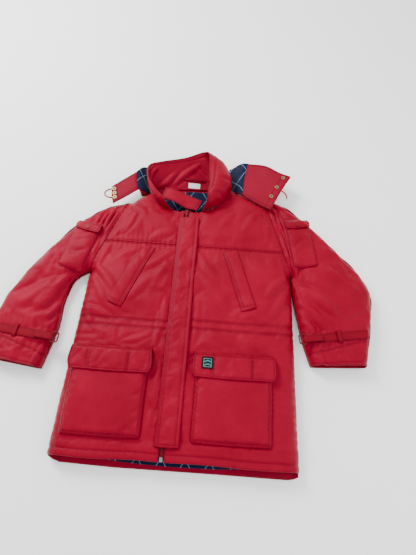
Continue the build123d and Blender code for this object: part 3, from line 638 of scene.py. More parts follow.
class Piece:
    """One cut of cloth: a grid with thickness, turned edges, stitch lines and threads.

    Rows and columns are stitch lines, as lengths from the grid's first row or column, or from its last if
    negative. Both puts them on both faces.
    """

    def __init__(
        self, name, p, thick, slot, rows=(), columns=(), depth=1.0, soft=2.5, threads=True, both=False
    ):
        m, n = p.shape[:2]
        d = edge_distances(p)
        groove = np.zeros((m, n))
        lines = []
        for across, stitches, low, high in ((True, columns, "left", "right"), (False, rows, "bottom", "top")):
            cut = groove.T if across else groove
            for at in stitches:
                far = d[low if at >= 0 else high]
                middle = far[m // 2, 1:-1] if across else far[1:-1, n // 2]
                k = int(np.argmin(np.abs(middle - abs(at)))) + 1
                for shift, share in ((-1, 0.4), (0, 1.0), (1, 0.4)):
                    cut[k + shift] = np.maximum(cut[k + shift], share * depth)
                lines.append((slice(1, -1), k) if across else (k, slice(1, -1)))
        verts, faces, seam, upper, lower = closed_grid(p, thick, soft, groove, both)
        runs = [upper[line] for line in lines] if threads else []
        if both:
            runs += [lower[line] for line in lines]
        self.upper = upper
        self.area = float(d["left"][:, -1].mean() * d["bottom"][-1].mean()) * MM * MM
        self.flat = (float(d["left"][:, -1].max()) * MM, float(d["bottom"][-1].max()) * MM)
        self.obj = make_object(name, verts, faces, slot, seam, stitch_marks(runs))

    def covers(self, *nodes):
        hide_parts(*nodes)
        return self

    def on(self, body, *nodes):
        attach(self.obj, body)
        return self.covers(*nodes)

    def across(self, child, start, end):
        """Bakes the piece's place into its mesh; child, start and end are not used."""
        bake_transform(self.obj)
        return self

    def padded(self, fill):
        return self

    def sheet(self, held, rests_on):
        """Turns rests_on into a list and leaves the cloth as it is."""
        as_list(rests_on)
        return self


def lift(plan, z):
    """Plan points with heights, as a 3-D grid."""
    return np.concatenate([plan, z[..., None]], axis=2)


# ---- the body's surface -------------------------------------------------------------------------
def neck_points(angles, grow=0.0):
    """Points of the neckline's oval, at angles in degrees."""
    return [
        (NECK_MIDDLE[0] + (NECK_HALF + grow) * cos(radians(a)),
         NECK_MIDDLE[1] + (NECK_DROP + grow) * sin(radians(a)))
        for a in angles
    ]


def puckers(along, away, pitch, seed, reach=11.0, size=0.8):
    """Small gathers beside a stitched line."""
    wave = np.sin(2 * pi * along / pitch + 2.2 * noise(along, along * 0, 4 * pitch, seed))
    return size * wave * np.exp(-np.abs(away) / reach)


def arm_seam(side, x, y):
    """Distance from the armhole seam (positive on the body) and the length along it."""
    a, b = ARMPIT[side], SHOULDER[side]
    d = beside(x, y, a, b) * OUT[side]
    run = hypot(b[0] - a[0], b[1] - a[1])
    along = ((x - a[0]) * (b[0] - a[0]) + (y - a[1]) * (b[1] - a[1])) / run
    return d, along, run


def seam_height(along, run):
    """Height of the armhole seam from the armpit to the shoulder tip."""
    rise = dome(np.minimum(along, run - along) / ROUND_OVER)
    return SEAM_Z + (TOP - 3.5 - SEAM_Z) * rise


POCKET_AREAS = [
    (box_mm(f"cargo_pocket_{side}")[0], box_mm(f"cargo_flap_{side}")[1]) for side in SIDES
]


def quiet(x, y):
    """1 on the open body, less under the patch pockets, where the cloth lies flat."""
    share = np.ones(np.shape(x))
    for low, high in POCKET_AREAS:
        inside = np.minimum.reduce([x - low[0], high[0] - x, y - low[1], high[1] - y])
        share = np.minimum(share, 1 - 0.85 * smooth((inside + 10) / 16))
    return share


BODY_FOLDS = [
    # right panel: from the placket's top to the side, and down beside the storm flap
    ((-58, 92), (-150, 10), 6, 15, 3.6),
    ((-62, 30), (-178, -92), -8, 17, 3.8),
    ((-70, 60), (-120, -70), 5, 13, 2.6),
    ((-292, 20), (-205, -80), 8, 14, 4.2),
    ((-300, -8), (-232, -118), 6, 13, 3.6),
    ((-306, -120), (-205, -150), 5, 12, 3.4),
    ((-300, -70), (-250, -190), -8, 12, 3.2),
    ((-64, -60), (-76, -215), 4, 9, 3.8),
    ((-78, -100), (-70, -330), -4, 8, 3.6),
    ((-62, -230), (-74, -470), 3, 8, 3.2),
    ((-88, -180), (-180, -215), 4, 10, 2.4),
    ((-150, 85), (-230, 40), -6, 14, 2.8),
    ((-250, 92), (-285, -10), -7, 13, 3.4),
    # left panel
    ((16, 88), (95, -20), -6, 14, 3.0),
    ((20, 20), (120, -110), 8, 16, 3.4),
    ((295, 22), (225, -60), -8, 15, 4.2),
    ((300, -18), (238, -128), -6, 13, 3.6),
    ((306, -60), (252, -200), 8, 13, 3.0),
    ((304, -130), (190, -170), -4, 12, 3.2),
    ((30, -70), (24, -220), 3, 10, 3.0),
    ((262, 96), (286, -6), 6, 12, 3.0),
    ((60, -160), (150, -205), -4, 11, 2.4),
    # yokes
    ((-60, 150), (-140, 112), -5, 13, 2.8),
    ((-250, 118), (-212, 196), -6, 10, 3.6),
    ((-232, 124), (-186, 214), -6, 11, 3.4),
    ((-206, 240), (-150, 190), 6, 12, 2.6),
    ((20, 150), (110, 118), 5, 13, 2.8),
    ((236, 258), (262, 132), 6, 10, 3.8),
    ((214, 272), (228, 128), 6, 11, 3.4),
    ((196, 240), (150, 150), -6, 13, 3.0),
    ((120, 240), (70, 170), 5, 13, 2.4),
]


def side_distance(x, y, hem_y):
    """How far a plan point is inside the nearer side seam."""
    return np.minimum(
        beside(x, y, (HALF_HEM, hem_y), ARMPIT["left"]), -beside(x, y, (-HALF_HEM, hem_y), ARMPIT["right"])
    )


def shoulder_distance(x, y):
    """How far a plan point is below the nearer shoulder seam."""
    right = -beside(x, y, SHOULDER["right"], NECK_SIDE["right"])
    return np.minimum(right, -beside(x, y, NECK_SIDE["left"], SHOULDER["left"]))


def body_top(x, y):
    """Height of the outer face of the fronts at a plan point."""
    side, slope = side_distance(x, y, HEM_Y), shoulder_distance(x, y)
    near = np.minimum(side, slope)
    z = SEAM_Z + (TOP - 1.5 - SEAM_Z) * dome(near / ROUND_OVER)
    loose = smooth(near / 45) * quiet(x, y)
    z = z + loose * (1.5 * noise(x, y, 85, 11) + 0.7 * noise(x + 0.5 * y, y, 34, 12))
    z = z + 0.7 * smooth(near / 26) * quiet(x, y) * folds(x, y, BODY_FOLDS)
    z = z + smooth(near / 20) * puckers(x, y - YOKE_Y, 15, 13, 12, 0.7)
    z = z + smooth(near / 20) * puckers(x, y - HEM_Y - 18, 13, 14, 12, 1.1)
    z = z + puckers(y, side, 21, 15, 16, 1.3)
    for side_name in SIDES:
        d, along, run = arm_seam(side_name, x, y)
        share = np.exp(-((np.maximum(d, 0) / 13) ** 2)) * (along > -20)
        z = z * (1 - share) + seam_height(along, run) * share
        z = z + puckers(along, d, 17, 16, 14, 0.9) * (along > 0)
    return z


PANEL_THICK = 4.4
ARM_AT_YOKE = {}
for side in SIDES:
    (ax, ay), (bx, by) = ARMPIT[side], SHOULDER[side]
    ARM_AT_YOKE[side] = (ax + (bx - ax) * (YOKE_Y - ay) / (by - ay), YOKE_Y)
ZIP_SIDE = {"right": NEAR_ZIP, "left": FAR_ZIP}
LINING_EDGE = {"right": box_mm("front_lining_right")[1][0], "left": box_mm("front_lining_left")[0][0]}


def wavy(points, size, seed, count=24):
    """A straight side with a slight natural wave, its ends kept."""
    (x0, y0), (x1, y1) = points
    run = hypot(x1 - x0, y1 - y0)
    t = np.linspace(0, 1, count)
    off = size * noise(t * run, t * 0, 60, seed) * np.sin(pi * t)
    return [
        (x0 + (x1 - x0) * k - (y1 - y0) / run * o, y0 + (y1 - y0) * k + (x1 - x0) / run * o)
        for k, o in zip(t, off)
    ]


def pins(p, rows=(), columns=(), border=9.0):
    """How firmly each grid point is held: wholly at the borders and at stitch lines."""
    d = edge_distances(p)
    near = to_border(d)
    for at in rows:
        near = np.minimum(near, np.abs((d["bottom"] if at >= 0 else d["top"]) - abs(at)))
    for at in columns:
        near = np.minimum(near, np.abs((d["left"] if at >= 0 else d["right"]) - abs(at)))
    return np.clip(1 - near / border, 0, 1)


SIDE_SEAM = {
    side: wavy([(OUT[side] * HALF_HEM, HEM_Y), ARMPIT[side]], 3.0, 21 + k) for k, side in enumerate(SIDES)
}
CHANNEL = {"right": (349.0, 371.0), "left": (357.0, 381.0)}
FRONT_TOPS = []
for side in SIDES:
    out = OUT[side]
    zip_x = ZIP_SIDE[side]
    seam_side = through(SIDE_SEAM[side] + [ARM_AT_YOKE[side]], sharp=True)
    zip_side = through([(zip_x, HEM_Y), (zip_x, YOKE_Y)])
    hem = through([(out * HALF_HEM, HEM_Y), (out * 200, HEM_Y - 2), (out * 90, HEM_Y + 1), (zip_x, HEM_Y)])
    yoke = through([ARM_AT_YOKE[side], (zip_x, YOKE_Y)])
    rows = [18.0, *CHANNEL[side]]
    v = grid_lines(YOKE_Y - HEM_Y, 5.0, rows, [5.0])
    u = grid_lines(285, 5.0)
    plan = coons(hem, yoke, seam_side, zip_side, u, v)
    p = lift(plan, body_top(plan[..., 0], plan[..., 1]) - PANEL_THICK / 2)
    if out > 0:
        p = p[:, ::-1]
    held = pins(p, rows)
    p = settle(f"front_panel_{side}", p, np.maximum(held, 1 - quiet(p[..., 0], p[..., 1])), spread=0.011, cap=6)
    panel = Piece(f"panel_{side}", p, PANEL_THICK, "shell_cloth", [*rows, -5.0], depth=1.3)
    panel.on("jacket_body", f"front_panel_{side}").padded(0.45)
    FRONT_TOPS.append(panel.upper)

for side in SIDES:
    out = OUT[side]
    zip_x = ZIP_SIDE[side]
    low_angle, far_angle = (-94.0, -163.0) if out < 0 else (-87.8, 2.0)
    neck = neck_points(low_angle + (far_angle - low_angle) * k / 8 for k in range(9))
    inner = through([(zip_x, YOKE_Y), *neck, NECK_SIDE[side]], sharp=True)
    outer = through([ARM_AT_YOKE[side], SHOULDER[side]])
    low_side = through([ARM_AT_YOKE[side], (zip_x, YOKE_Y)])
    high_side = through([SHOULDER[side], NECK_SIDE[side]])
    u, v = grid_lines(230, 4.5), grid_lines(200, 4.5, [5.0])
    plan = coons(low_side, high_side, outer, inner, u, v)
    p = lift(plan, body_top(plan[..., 0], plan[..., 1]) - PANEL_THICK / 2)
    if out > 0:
        p = p[:, ::-1]
    p = settle(f"front_yoke_{side}", p, pins(p), spread=0.011, cap=5)
    yoke_piece = Piece(f"yoke_{side}", p, PANEL_THICK, "shell_cloth", [5.0], depth=1.1)
    yoke_piece.on("jacket_body", f"front_yoke_{side}").padded(0.45)
    FRONT_TOPS.append(yoke_piece.upper)


def tree_over(grids):
    """A search tree of grids' faces, to find heights on them."""
    verts, faces = [], []
    for g in grids:
        m, n = g.shape[:2]
        ids = np.arange(m * n).reshape(m, n) + len(verts)
        verts += [tuple(c) for c in g.reshape(-1, 3)]
        faces += quads_of(ids).tolist()
    return BVHTree.FromPolygons(verts, faces)


def height_on(tree, x, y, otherwise):
    """The surface's height under each plan point."""
    flat = []
    for a, b, c in zip(np.ravel(x), np.ravel(y), np.ravel(np.broadcast_to(otherwise, np.shape(x)))):
        hit = tree.ray_cast((a, b, 500.0), (0, 0, -1.0))[0]
        flat.append(c if hit is None else hit[2])
    return np.array(flat).reshape(np.shape(x))


FRONT_TREE = tree_over(FRONT_TOPS)


def on_front(x, y):
    return height_on(FRONT_TREE, x, y, TOP - 2)


# ---- the back, the linings and the facings -------------------------------------------------------
def back_height(x, y):
    """Middle of the back panel: flat on the floor, curling up to meet the fronts at the closed seams."""
    near = np.minimum(side_distance(x, y, BACK_HEM_Y), shoulder_distance(x, y))
    for side_name in SIDES:
        d, along, run = arm_seam(side_name, x, y)
        rim = np.minimum(np.maximum(d, 0) + 40 * dome(np.minimum(along, run - along) / ROUND_OVER), 99)
        near = np.minimum(near, np.where(along > 0, rim, near))
    curl = (SEAM_Z - 6.0) * (1 - dome(near / CURL_REACH))
    return 3.4 + curl + 0.5 * (1 + noise(x, y, 70, 31)) + 0.4 * (1 + noise(x, y + 0.4 * x, 28, 32))


back_low = through([
    (-HALF_HEM, BACK_HEM_Y + 16), (-308, BACK_HEM_Y + 9), (-286, BACK_HEM_Y + 3), (-150, BACK_HEM_Y - 0.5),
    (120, BACK_HEM_Y + 0.5), (292, BACK_HEM_Y), (308, BACK_HEM_Y + 3), (HALF_HEM, BACK_HEM_Y + 8),
], sharp=True)
back_high = through(
    [SHOULDER["right"], (-164, 296), (-152, 326), (-110, 336), (-60, 341), (NAPE[0], NAPE[1] + 9), (40, 346),
     (96, 348), (112, 334), SHOULDER["left"]], sharp=True,
)
back_sides = [
    through([(OUT[s] * HALF_HEM, BACK_HEM_Y + up)] + SIDE_SEAM[s] + [SHOULDER[s]], sharp=True)
    for s, up in (("right", 16), ("left", 8))
]
BACK_SEAMS = [18.0, 370.0, 392.0, 640.0]
plan = coons(back_low, back_high, *back_sides, grid_lines(630, 7.5), grid_lines(820, 7.5, BACK_SEAMS))
back_grid = lift(plan, back_height(plan[..., 0], plan[..., 1]))
back = Piece("back", back_grid, 6.0, "shell_cloth", BACK_SEAMS, depth=0.9, threads=False)
back.on("jacket_body", "back_panel").padded(0.4)


def lining_grid(bottom_y, inset, zip_edge, step, top_inset=9.0):
    """Plan grid of a body lining, whole or on one side of the zip."""
    def corner(side, y):
        a, b = (OUT[side] * HALF_HEM, HEM_Y), ARMPIT[side]
        x = a[0] + (b[0] - a[0]) * (y - a[1]) / (b[1] - a[1])
        return (x - OUT[side] * inset, y)

    shoulder = {s: (SHOULDER[s][0] - OUT[s] * inset, SHOULDER[s][1] - top_inset) for s in SIDES}
    armpit = {s: (ARMPIT[s][0] - OUT[s] * inset, ARMPIT[s][1] - 4) for s in SIDES}
    if zip_edge is None:
        end_r, end_l = (corner(s, bottom_y + 15) for s in SIDES)
        low = through([end_r, (-90, bottom_y), (90, bottom_y), end_l])
        neck_r, neck_l = ((NECK_SIDE[s][0], NECK_SIDE[s][1] - 12) for s in SIDES)
        nape = (NAPE[0], NAPE[1] - 6)
        high = through([shoulder["right"], neck_r, nape, neck_l, shoulder["left"]], sharp=True)
        sides = [through([corner(s, bottom_y), armpit[s], shoulder[s]], sharp=True) for s in SIDES]
        width, height = 600, 800
    else:
        s, zx = zip_edge
        neck = neck_points((-95, -110, -125, -140, -155) if s == "right" else (-58, -45, -30, -15, 0), 5.0)
        neck_end = (NECK_SIDE[s][0] + OUT[s] * 8, NECK_SIDE[s][1] - 9)
        low = through([corner(s, bottom_y), (zx, bottom_y)])
        high = through([shoulder[s], neck_end])
        outer = through([corner(s, bottom_y), armpit[s], shoulder[s]], sharp=True)
        inner = through([(zx, bottom_y), (zx, neck[0][1] - 4)] + neck + [neck_end], sharp=True)
        sides = [outer, inner]
        width, height = 260, 740
    grid = coons(low, high, *sides, grid_lines(width, step), grid_lines(height, step))
    return grid[:, ::-1] if zip_edge and zip_edge[0] == "left" else grid


def quilt(x, y):
    """Shallow pillows between the stitched diamonds of the lining."""
    a = np.abs(((x + DIAMOND_LEAN * y) / DIAMOND) % 1 - 0.5) * 2
    b = np.abs(((x - DIAMOND_LEAN * y) / DIAMOND) % 1 - 0.5) * 2
    return 1.3 * dome(np.minimum(a, b) * 2.2)


plan = lining_grid(BACK_HEM_Y + 27, 24, None, 7.5, 16)  # it bags out over the hem's facing
z = 10.4 + quilt(plan[..., 0], plan[..., 1]) * 0.6 + 0.5 * noise(plan[..., 0], plan[..., 1], 60, 41)
Piece("lining_back", lift(plan, z), 1.4, "lining_cloth", soft=1.2).on("jacket_body", "back_lining").sheet(
    "laid", ["back"])
lining_low = box_mm("front_lining_right")[0][2]
for side in SIDES:
    plan = lining_grid(HEM_Y + 45, 17, (side, LINING_EDGE[side]), 7.5, 18)
    x, y = plan[..., 0], plan[..., 1]
    below = np.minimum(lining_low + 0.8, on_front(x, y) - 8.0)
    z = np.maximum(below - 0.8 * quilt(x, y), 12.5)
    Piece(f"lining_{side}", lift(plan, z), 1.4, "lining_cloth", soft=1.2).on(
        "jacket_body", f"front_lining_{side}"
    ).sheet("laid", [f"panel_{side}"])


def straight_grid(x0, x1, y0, y1, step, rows=(), columns=(), bow=0.0, seed=0):
    """A plan grid over an upright rectangle with softly waving sides."""
    low = through([(x0, y0), ((x0 + x1) / 2, y0 - bow), (x1, y0)])
    high = through([(x0, y1), ((x0 + x1) / 2, y1 + bow), (x1, y1)])
    left, right = (through(wavy([(x, y0), (x, y1)], bow, seed + k)) for k, x in enumerate((x0, x1)))
    return coons(low, high, left, right, grid_lines(x1 - x0, step, columns), grid_lines(y1 - y0, step, rows))


def grid_over(node, step, *stitches, **how):
    """A plan grid over a node's own place."""
    low, high = box_mm(node)
    return straight_grid(low[0], high[0], low[1], high[1], step, *stitches, **how)


plan = straight_grid(-290, 303, BACK_HEM_Y + 3.0, BACK_HEM_Y + 46, 6.0, [40.0], bow=1.0)
x, y = plan[..., 0], plan[..., 1]
z = 8.6 + 0.6 * noise(x, y, 35, 43) + puckers(x, y - BACK_HEM_Y, 12, 44, 9, 0.5)
hem_back = Piece("hem_facing_back", lift(plan, z), 1.4, "shell_cloth", [40.0], depth=0.5, soft=1.2)
hem_back.on("jacket_body", "hem_facing").sheet("laid", ["back"])
for side in SIDES:
    x0, x1 = sorted((OUT[side] * 300, LINING_EDGE[side]))
    plan = straight_grid(x0, x1, HEM_Y + 1.5, HEM_Y + 46, 6.0, [40.0], bow=0.5)
    x, y = plan[..., 0], plan[..., 1]
    z = np.minimum(lining_low + 0.9, on_front(x, y) - 7.2)
    facing = Piece(f"hem_facing_{side}", lift(plan, z), 1.4, "shell_cloth", [40.0], depth=0.5, soft=1.2)
    facing.on("jacket_body", "hem_facing").sheet("laid", [f"panel_{side}"])

bag_low = box_mm("chest_pocket_bags")[0][2]
for side in SIDES:
    middle = WELT_FOOT[side][0] - OUT[side] * 20
    plan = straight_grid(middle - 54, middle + 54, -119, 69, 6.0, bow=1.5, seed=51)
    z = np.minimum(bag_low + 0.5, on_front(plan[..., 0], plan[..., 1]) - 6.3)
    bag = Piece(f"pocket_bag_{side}", lift(plan, z), 1.0, "lining_cloth", soft=1.0)
    bag.on("jacket_body", "chest_pocket_bags").sheet("laid", [f"panel_{side}"])

# ---- zip, storm flap and wind flap ---------------------------------------------------------------
low, high = box_mm("zip_tapes")
middle_x = (low[0] + high[0]) / 2
for side, (x0, x1) in {"right": (low[0], middle_x - 1), "left": (middle_x + 1, high[0])}.items():
    plan = straight_grid(x0, x1, low[1], high[1], 4.0, bow=0.3, seed=61)
    z = (low[2] + high[2]) / 2 + 0.25 * noise(plan[..., 0], plan[..., 1], 40, 62)
    Piece(f"zip_tape_{side}", lift(plan, z), 1.2, "zip_tape", soft=0.8).on("jacket_body", "zip_tapes")
plan = grid_over("storm_flap_loop_tape", 3.0, bow=0.2, seed=63)
z = np.maximum(on_front(plan[..., 0], plan[..., 1]), TOP - 3) + 0.5
Piece("loop_tape", lift(plan, z), 1.2, "touch_tape", soft=0.8).on("jacket_body", "storm_flap_loop_tape")

STORM_LOW, STORM_HIGH = box_mm("storm_flap")
STORM_STITCHES = [5.0, 13.0, 55.0]


def storm_height(x, y):
    """Upper face of the storm flap: sewn down at its right edge and padded along its length."""
    across = np.clip((x - STORM_LOW[0]) / 9.0, 0, 1)
    roll = 0.9 * noise(y, x * 0, 46, 64) * smooth((x - STORM_LOW[0]) / 40) + 0.7 * noise(x, y, 26, 65)
    return STORM_HIGH[2] - 3.7 * (1 - smooth(across)) + roll - 0.6


plan = grid_over("storm_flap", 3.6, [6.0], STORM_STITCHES, bow=1.0, seed=66)
x, y = plan[..., 0], plan[..., 1]
p = lift(plan, storm_height(x, y) - 2.0)
p = settle("storm_flap", p, pins(p, [6.0], STORM_STITCHES, 4.0), spread=0.012, cap=1.6)
Piece("storm_flap_cloth", p, 4.0, "shell_cloth", [6.0], STORM_STITCHES, depth=1.0).on(
    "storm_flap", "storm_flap"
).padded(0.4)
plan = grid_over("storm_flap_hook_tape", 3.0, bow=0.2, seed=67)
z = storm_height(plan[..., 0], plan[..., 1]) - 5.2
Piece("hook_tape", lift(plan, z), 1.0, "touch_tape", soft=0.8).on("storm_flap", "storm_flap_hook_tape")

low, high = box_mm("inner_wind_flap")
plan = straight_grid(-56, 6, low[1], 232, 5.0, [], [5.0, 57.0], 0.6, 68)
z = (low[2] + high[2]) / 2 + 0.5 * noise(plan[..., 0], plan[..., 1], 40, 69)
Piece("wind_flap", lift(plan, z), 2.6, "shell_cloth", [], [5.0, 57.0], depth=0.6).on(
    "jacket_body", "inner_wind_flap"
).sheet("laid", ["lining_back"])
THROAT_TAB = (
    [(-116, 266), (-70, 252), (-30, 236), (2, 232)], [(-106, 308), (-62, 302), (-20, 284), (16, 268)],
    [(-116, 266), (-106, 308)], [(2, 232), (16, 268)],
)
plan = coons(*map(through, THROAT_TAB), *(grid_lines(length, 3.5, [5.0], [5.0]) for length in (122, 42)))
x, y = plan[..., 0], plan[..., 1]
z = 47.0 + 9.0 * smooth((x + 30) / -60) + 1.0 * noise(x, y, 22, 70) - 3.0 * smooth((y - 262) / 40)
Piece("throat_tab", lift(plan, z), 3.4, "shell_cloth", [5.0, -5.0], [5.0, -5.0], depth=0.8).on(
    "jacket_body", "inner_wind_flap"
).padded(0.3)


# ---- pockets and flaps ---------------------------------------------------------------------------
def framed(origin, angle):
    """A function that puts local plan points at a place and an angle."""
    c, s = cos(radians(angle)), sin(radians(angle))

    def put(local):
        x, y = local[..., 0], local[..., 1]
        return np.stack([origin[0] + x * c - y * s, origin[1] + x * s + y * c], -1)

    return put


def pocket_grid(width, y0, y1, step, rows, columns, seed):
    """Local plan grid of a patch pocket, its lower corners a little rounded."""
    half = width / 2
    corner = 5.0
    low = through([(-half + corner, y0), (0, y0 - 1.5), (half - corner, y0)])
    high = through([(-half, y1), (0, y1 + 0.5), (half, y1)])
    sides = [
        through([(sign * (half - corner), y0), (sign * half, y0 + corner + 1)]
                + wavy([(sign * (half + 0.5), y0 + 2 * corner + 4), (sign * half, y1)], 1.2, seed + k, 8))
        for k, sign in enumerate((-1, 1))
    ]
    return coons(low, high, *sides, grid_lines(width, step, *columns), grid_lines(y1 - y0, step, rows))


def patch_pocket(name, put, width, y0, y1, depth, surface, columns, rows, swell, seed):
    """A bulging patch pocket: sewn on three sides, open along its top."""
    local = pocket_grid(width, y0, y1, 4.0, rows, (columns, columns), seed)
    plan = put(local)
    x, y = plan[..., 0], plan[..., 1]
    d = edge_distances(np.concatenate([local, np.zeros_like(local[..., :1])], 2))
    near = np.minimum.reduce([d["left"], d["right"], d["bottom"]])
    base = surface(x, y)
    loose = smooth(near / 30)
    z = base + 1.4 + (depth - 1.4) * dome(near / 17)
    z = z + loose * (swell * noise(x, y, 60, seed) + 0.6 * swell * noise(x - 0.5 * y, y, 27, seed + 1))
    z = z + puckers(local[..., 0] + local[..., 1], near, 14, seed + 2, 10, 0.6)
    p = lift(plan, z - 1.6)
    p = settle(name, p, np.clip(1 - to_border(d) / 7, 0, 1), spread=0.02, cap=2.5)
    return Piece(name, p, 3.2, "shell_cloth", rows, [*columns, *(-c for c in columns)], depth=0.9)


def pocket_flap(
    name, put, width, y_top, y_low, rest, thick, base_z, rows, columns, seed, sag, under=None
):
    """A flap sewn down along its top edge and stepping up over its pocket."""
    half = width / 2
    low = through([(-half + 3, y_low), (0, y_low - 2.0), (half - 3, y_low)])
    high = through([(-half, y_top), (0, y_top + 0.5), (half, y_top)])
    sides = [
        through([(sign * (half - 3), y_low), (sign * (half + 0.6), y_low + 7), (sign * half, y_top)])
        for sign in (-1, 1)
    ]
    height = y_top - y_low
    inner = [width / 2 + c for c in columns]
    grid = coons(
        low, high, *sides, grid_lines(width, 4.0, [5.0, *inner], [5.0]), grid_lines(height, 3.5, rows)
    )
    plan = put(grid)
    x, y = plan[..., 0], plan[..., 1]
    from_top = y_top - grid[..., 1]
    z = base_z + thick + (rest - base_z) * smooth((from_top - 1.0) / 11)
    if under is not None:
        z = z - np.maximum(TOP - under(x, y), 0)
    z = z + sag * noise(x, y, 45, seed) * smooth(from_top / 20) + 0.5 * noise(x, y, 19, seed + 1)
    p = lift(plan, z - thick / 2)
    stitched = [*inner, 5.0, -5.0]
    p = settle(name, p, pins(p, rows, stitched, 4.0), spread=0.012, cap=1.4)
    return Piece(name, p, thick, "shell_cloth", rows, stitched, depth=0.9)


for k, side in enumerate(SIDES):
    low, high = box_mm(f"cargo_pocket_{side}")
    flap_low, flap_high = box_mm(f"cargo_flap_{side}")
    middle = (low[0] + high[0]) / 2
    put = framed((middle, 0.0), 0.0)
    pocket = patch_pocket(
        f"patch_pocket_{side}", put, high[0] - low[0], low[1], high[1], high[2] - low[2] - 0.5,
        lambda x, y: np.minimum(on_front(x, y), TOP), (4.0, 12.0), [4.0, 12.0], 0.5, 80 + 10 * k,
    )
    pocket.on("jacket_body", f"cargo_pocket_{side}").padded(0.35)
    width = flap_high[0] - flap_low[0]
    pairs = [-width / 4 - 3, -width / 4 + 3, width / 4 - 3, width / 4 + 3]
    flap = pocket_flap(
        f"patch_flap_{side}", put, width, flap_high[1], flap_low[1], flap_high[2] - 4.0 + 0.8, 4.0,
        flap_low[2], [5.0, 62.0], pairs, 90 + 10 * k, 0.7,
    )
    flap.on(f"cargo_flap_{side}", f"cargo_flap_{side}").padded(0.4)
    if side == "left":
        flap_tree = tree_over([flap.upper])
plan = grid_over("flap_badge", 2.0, [2.0], [2.0])
z = height_on(flap_tree, plan[..., 0], plan[..., 1], box_mm("flap_badge")[1][2]) + 0.7
Piece("badge", lift(plan, z), 1.3, "badge_patch", [2.0], [2.0], depth=0.3, soft=0.8).on(
    "cargo_flap_left", "flap_badge"
)

for k, side in enumerate(SIDES):
    put = framed(WELT_FOOT[side], WELT_LEAN[side])
    far = -OUT[side]  # the inner long edge is sewn, the outer one is the pocket's mouth
    half = 22.0
    top_y = 205.0 - half * np.tan(radians(WELT_LEAN[side]))
    low = through([(-half, 0), (0, -0.8), (half, 0)])
    high = through([(-half, top_y), (half, top_y)])
    left, right = (
        through(wavy([(edge, 0), (edge, top_y)], 0.8, seed + k, 8))
        for edge, seed in ((-half, 101), (half, 103))
    )
    columns = [3.5, 11.0] if far < 0 else [33.0, 40.5]
    grid = coons(low, high, left, right, grid_lines(44, 3.4, columns), grid_lines(205, 3.6, [3.5, 11.0]))
    plan = put(grid)
    x, y = plan[..., 0], plan[..., 1]
    open_edge = (grid[..., 0] * -far + half) / (2 * half)
    z = on_front(x, y) + 1.2 + 2.6 * smooth(open_edge * 1.5) + 0.4 * noise(x, y, 20, 105)
    Piece(f"welt_{side}", lift(plan, z), 3.4, "shell_cloth", [3.5, 11.0], columns, depth=0.8).on(
        "jacket_body", "chest_welts"
    ).padded(0.3)


# ---- sleeves ------------------------------------------------------------------------------------
ARM_FOLDS = {  # those of the sleeve head fan out of the armpit, and softer ones run down the sleeve
    "right": [
        ((-302, 26), (-232, 238), 5, 8, 7.5),
        ((-308, 24), (-250, 232), 8, 8, 8.5),
        ((-314, 20), (-270, 218), 11, 8, 8.0),
        ((-320, 12), (-292, 196), 14, 9, 7.0),
        ((-328, 2), (-318, 160), 14, 9, 5.0),
        ((-338, -12), (-346, 96), 10, 10, 4.0),
        ((-338, -20), (-402, -170), 12, 15, 4.2),
        ((-356, -10), (-452, -150), 14, 18, 3.6),
        ((-392, -30), (-490, -140), 10, 20, 3.0),
        ((-420, 60), (-508, -90), 12, 16, 2.8),
        ((-350, -70), (-382, -190), 8, 11, 3.0),
    ],
    "left": [
        ((300, 52), (224, 286), -5, 6.5, 7.0),
        ((303, 46), (240, 280), -7, 7, 8.0),
        ((306, 42), (256, 268), -9, 7, 7.5),
        ((309, 36), (270, 246), -10, 7, 6.5),
        ((312, 28), (284, 216), -10, 8, 5.5),
        ((316, 16), (300, 170), -9, 8, 4.5),
        ((232, 294), (290, 262), -4, 7, 4.0),
        ((226, 282), (272, 236), -4, 7, 4.0),
        ((322, 0), (440, -110), 12, 17, 3.6),
        ((324, -50), (420, -170), 10, 15, 3.2),
        ((400, 60), (500, -30), 10, 18, 2.8),
        ((336, -110), (390, -200), 8, 12, 2.6),
        ((430, 90), (510, 10), -8, 14, 2.2),
    ],
}


def arm_quiet(side, x, y):
    """1 on the open sleeve, less under its pocket and strap, where the cloth is held flat."""
    lean = radians(POCKET_LEAN[side])
    dx, dy = x - POCKET_TOP[side][0], y - POCKET_TOP[side][1]
    across, along = dx * cos(lean) + dy * sin(lean), dy * cos(lean) - dx * sin(lean)
    inside = np.minimum.reduce([41 - np.abs(across), 10 - along, along + 164])
    strap, _ = to_segment(x, y, *STRAP_LINE[side])
    return np.minimum(1 - 0.9 * smooth((inside + 3) / 8), 1 - 0.9 * smooth((22 - strap) / 10))


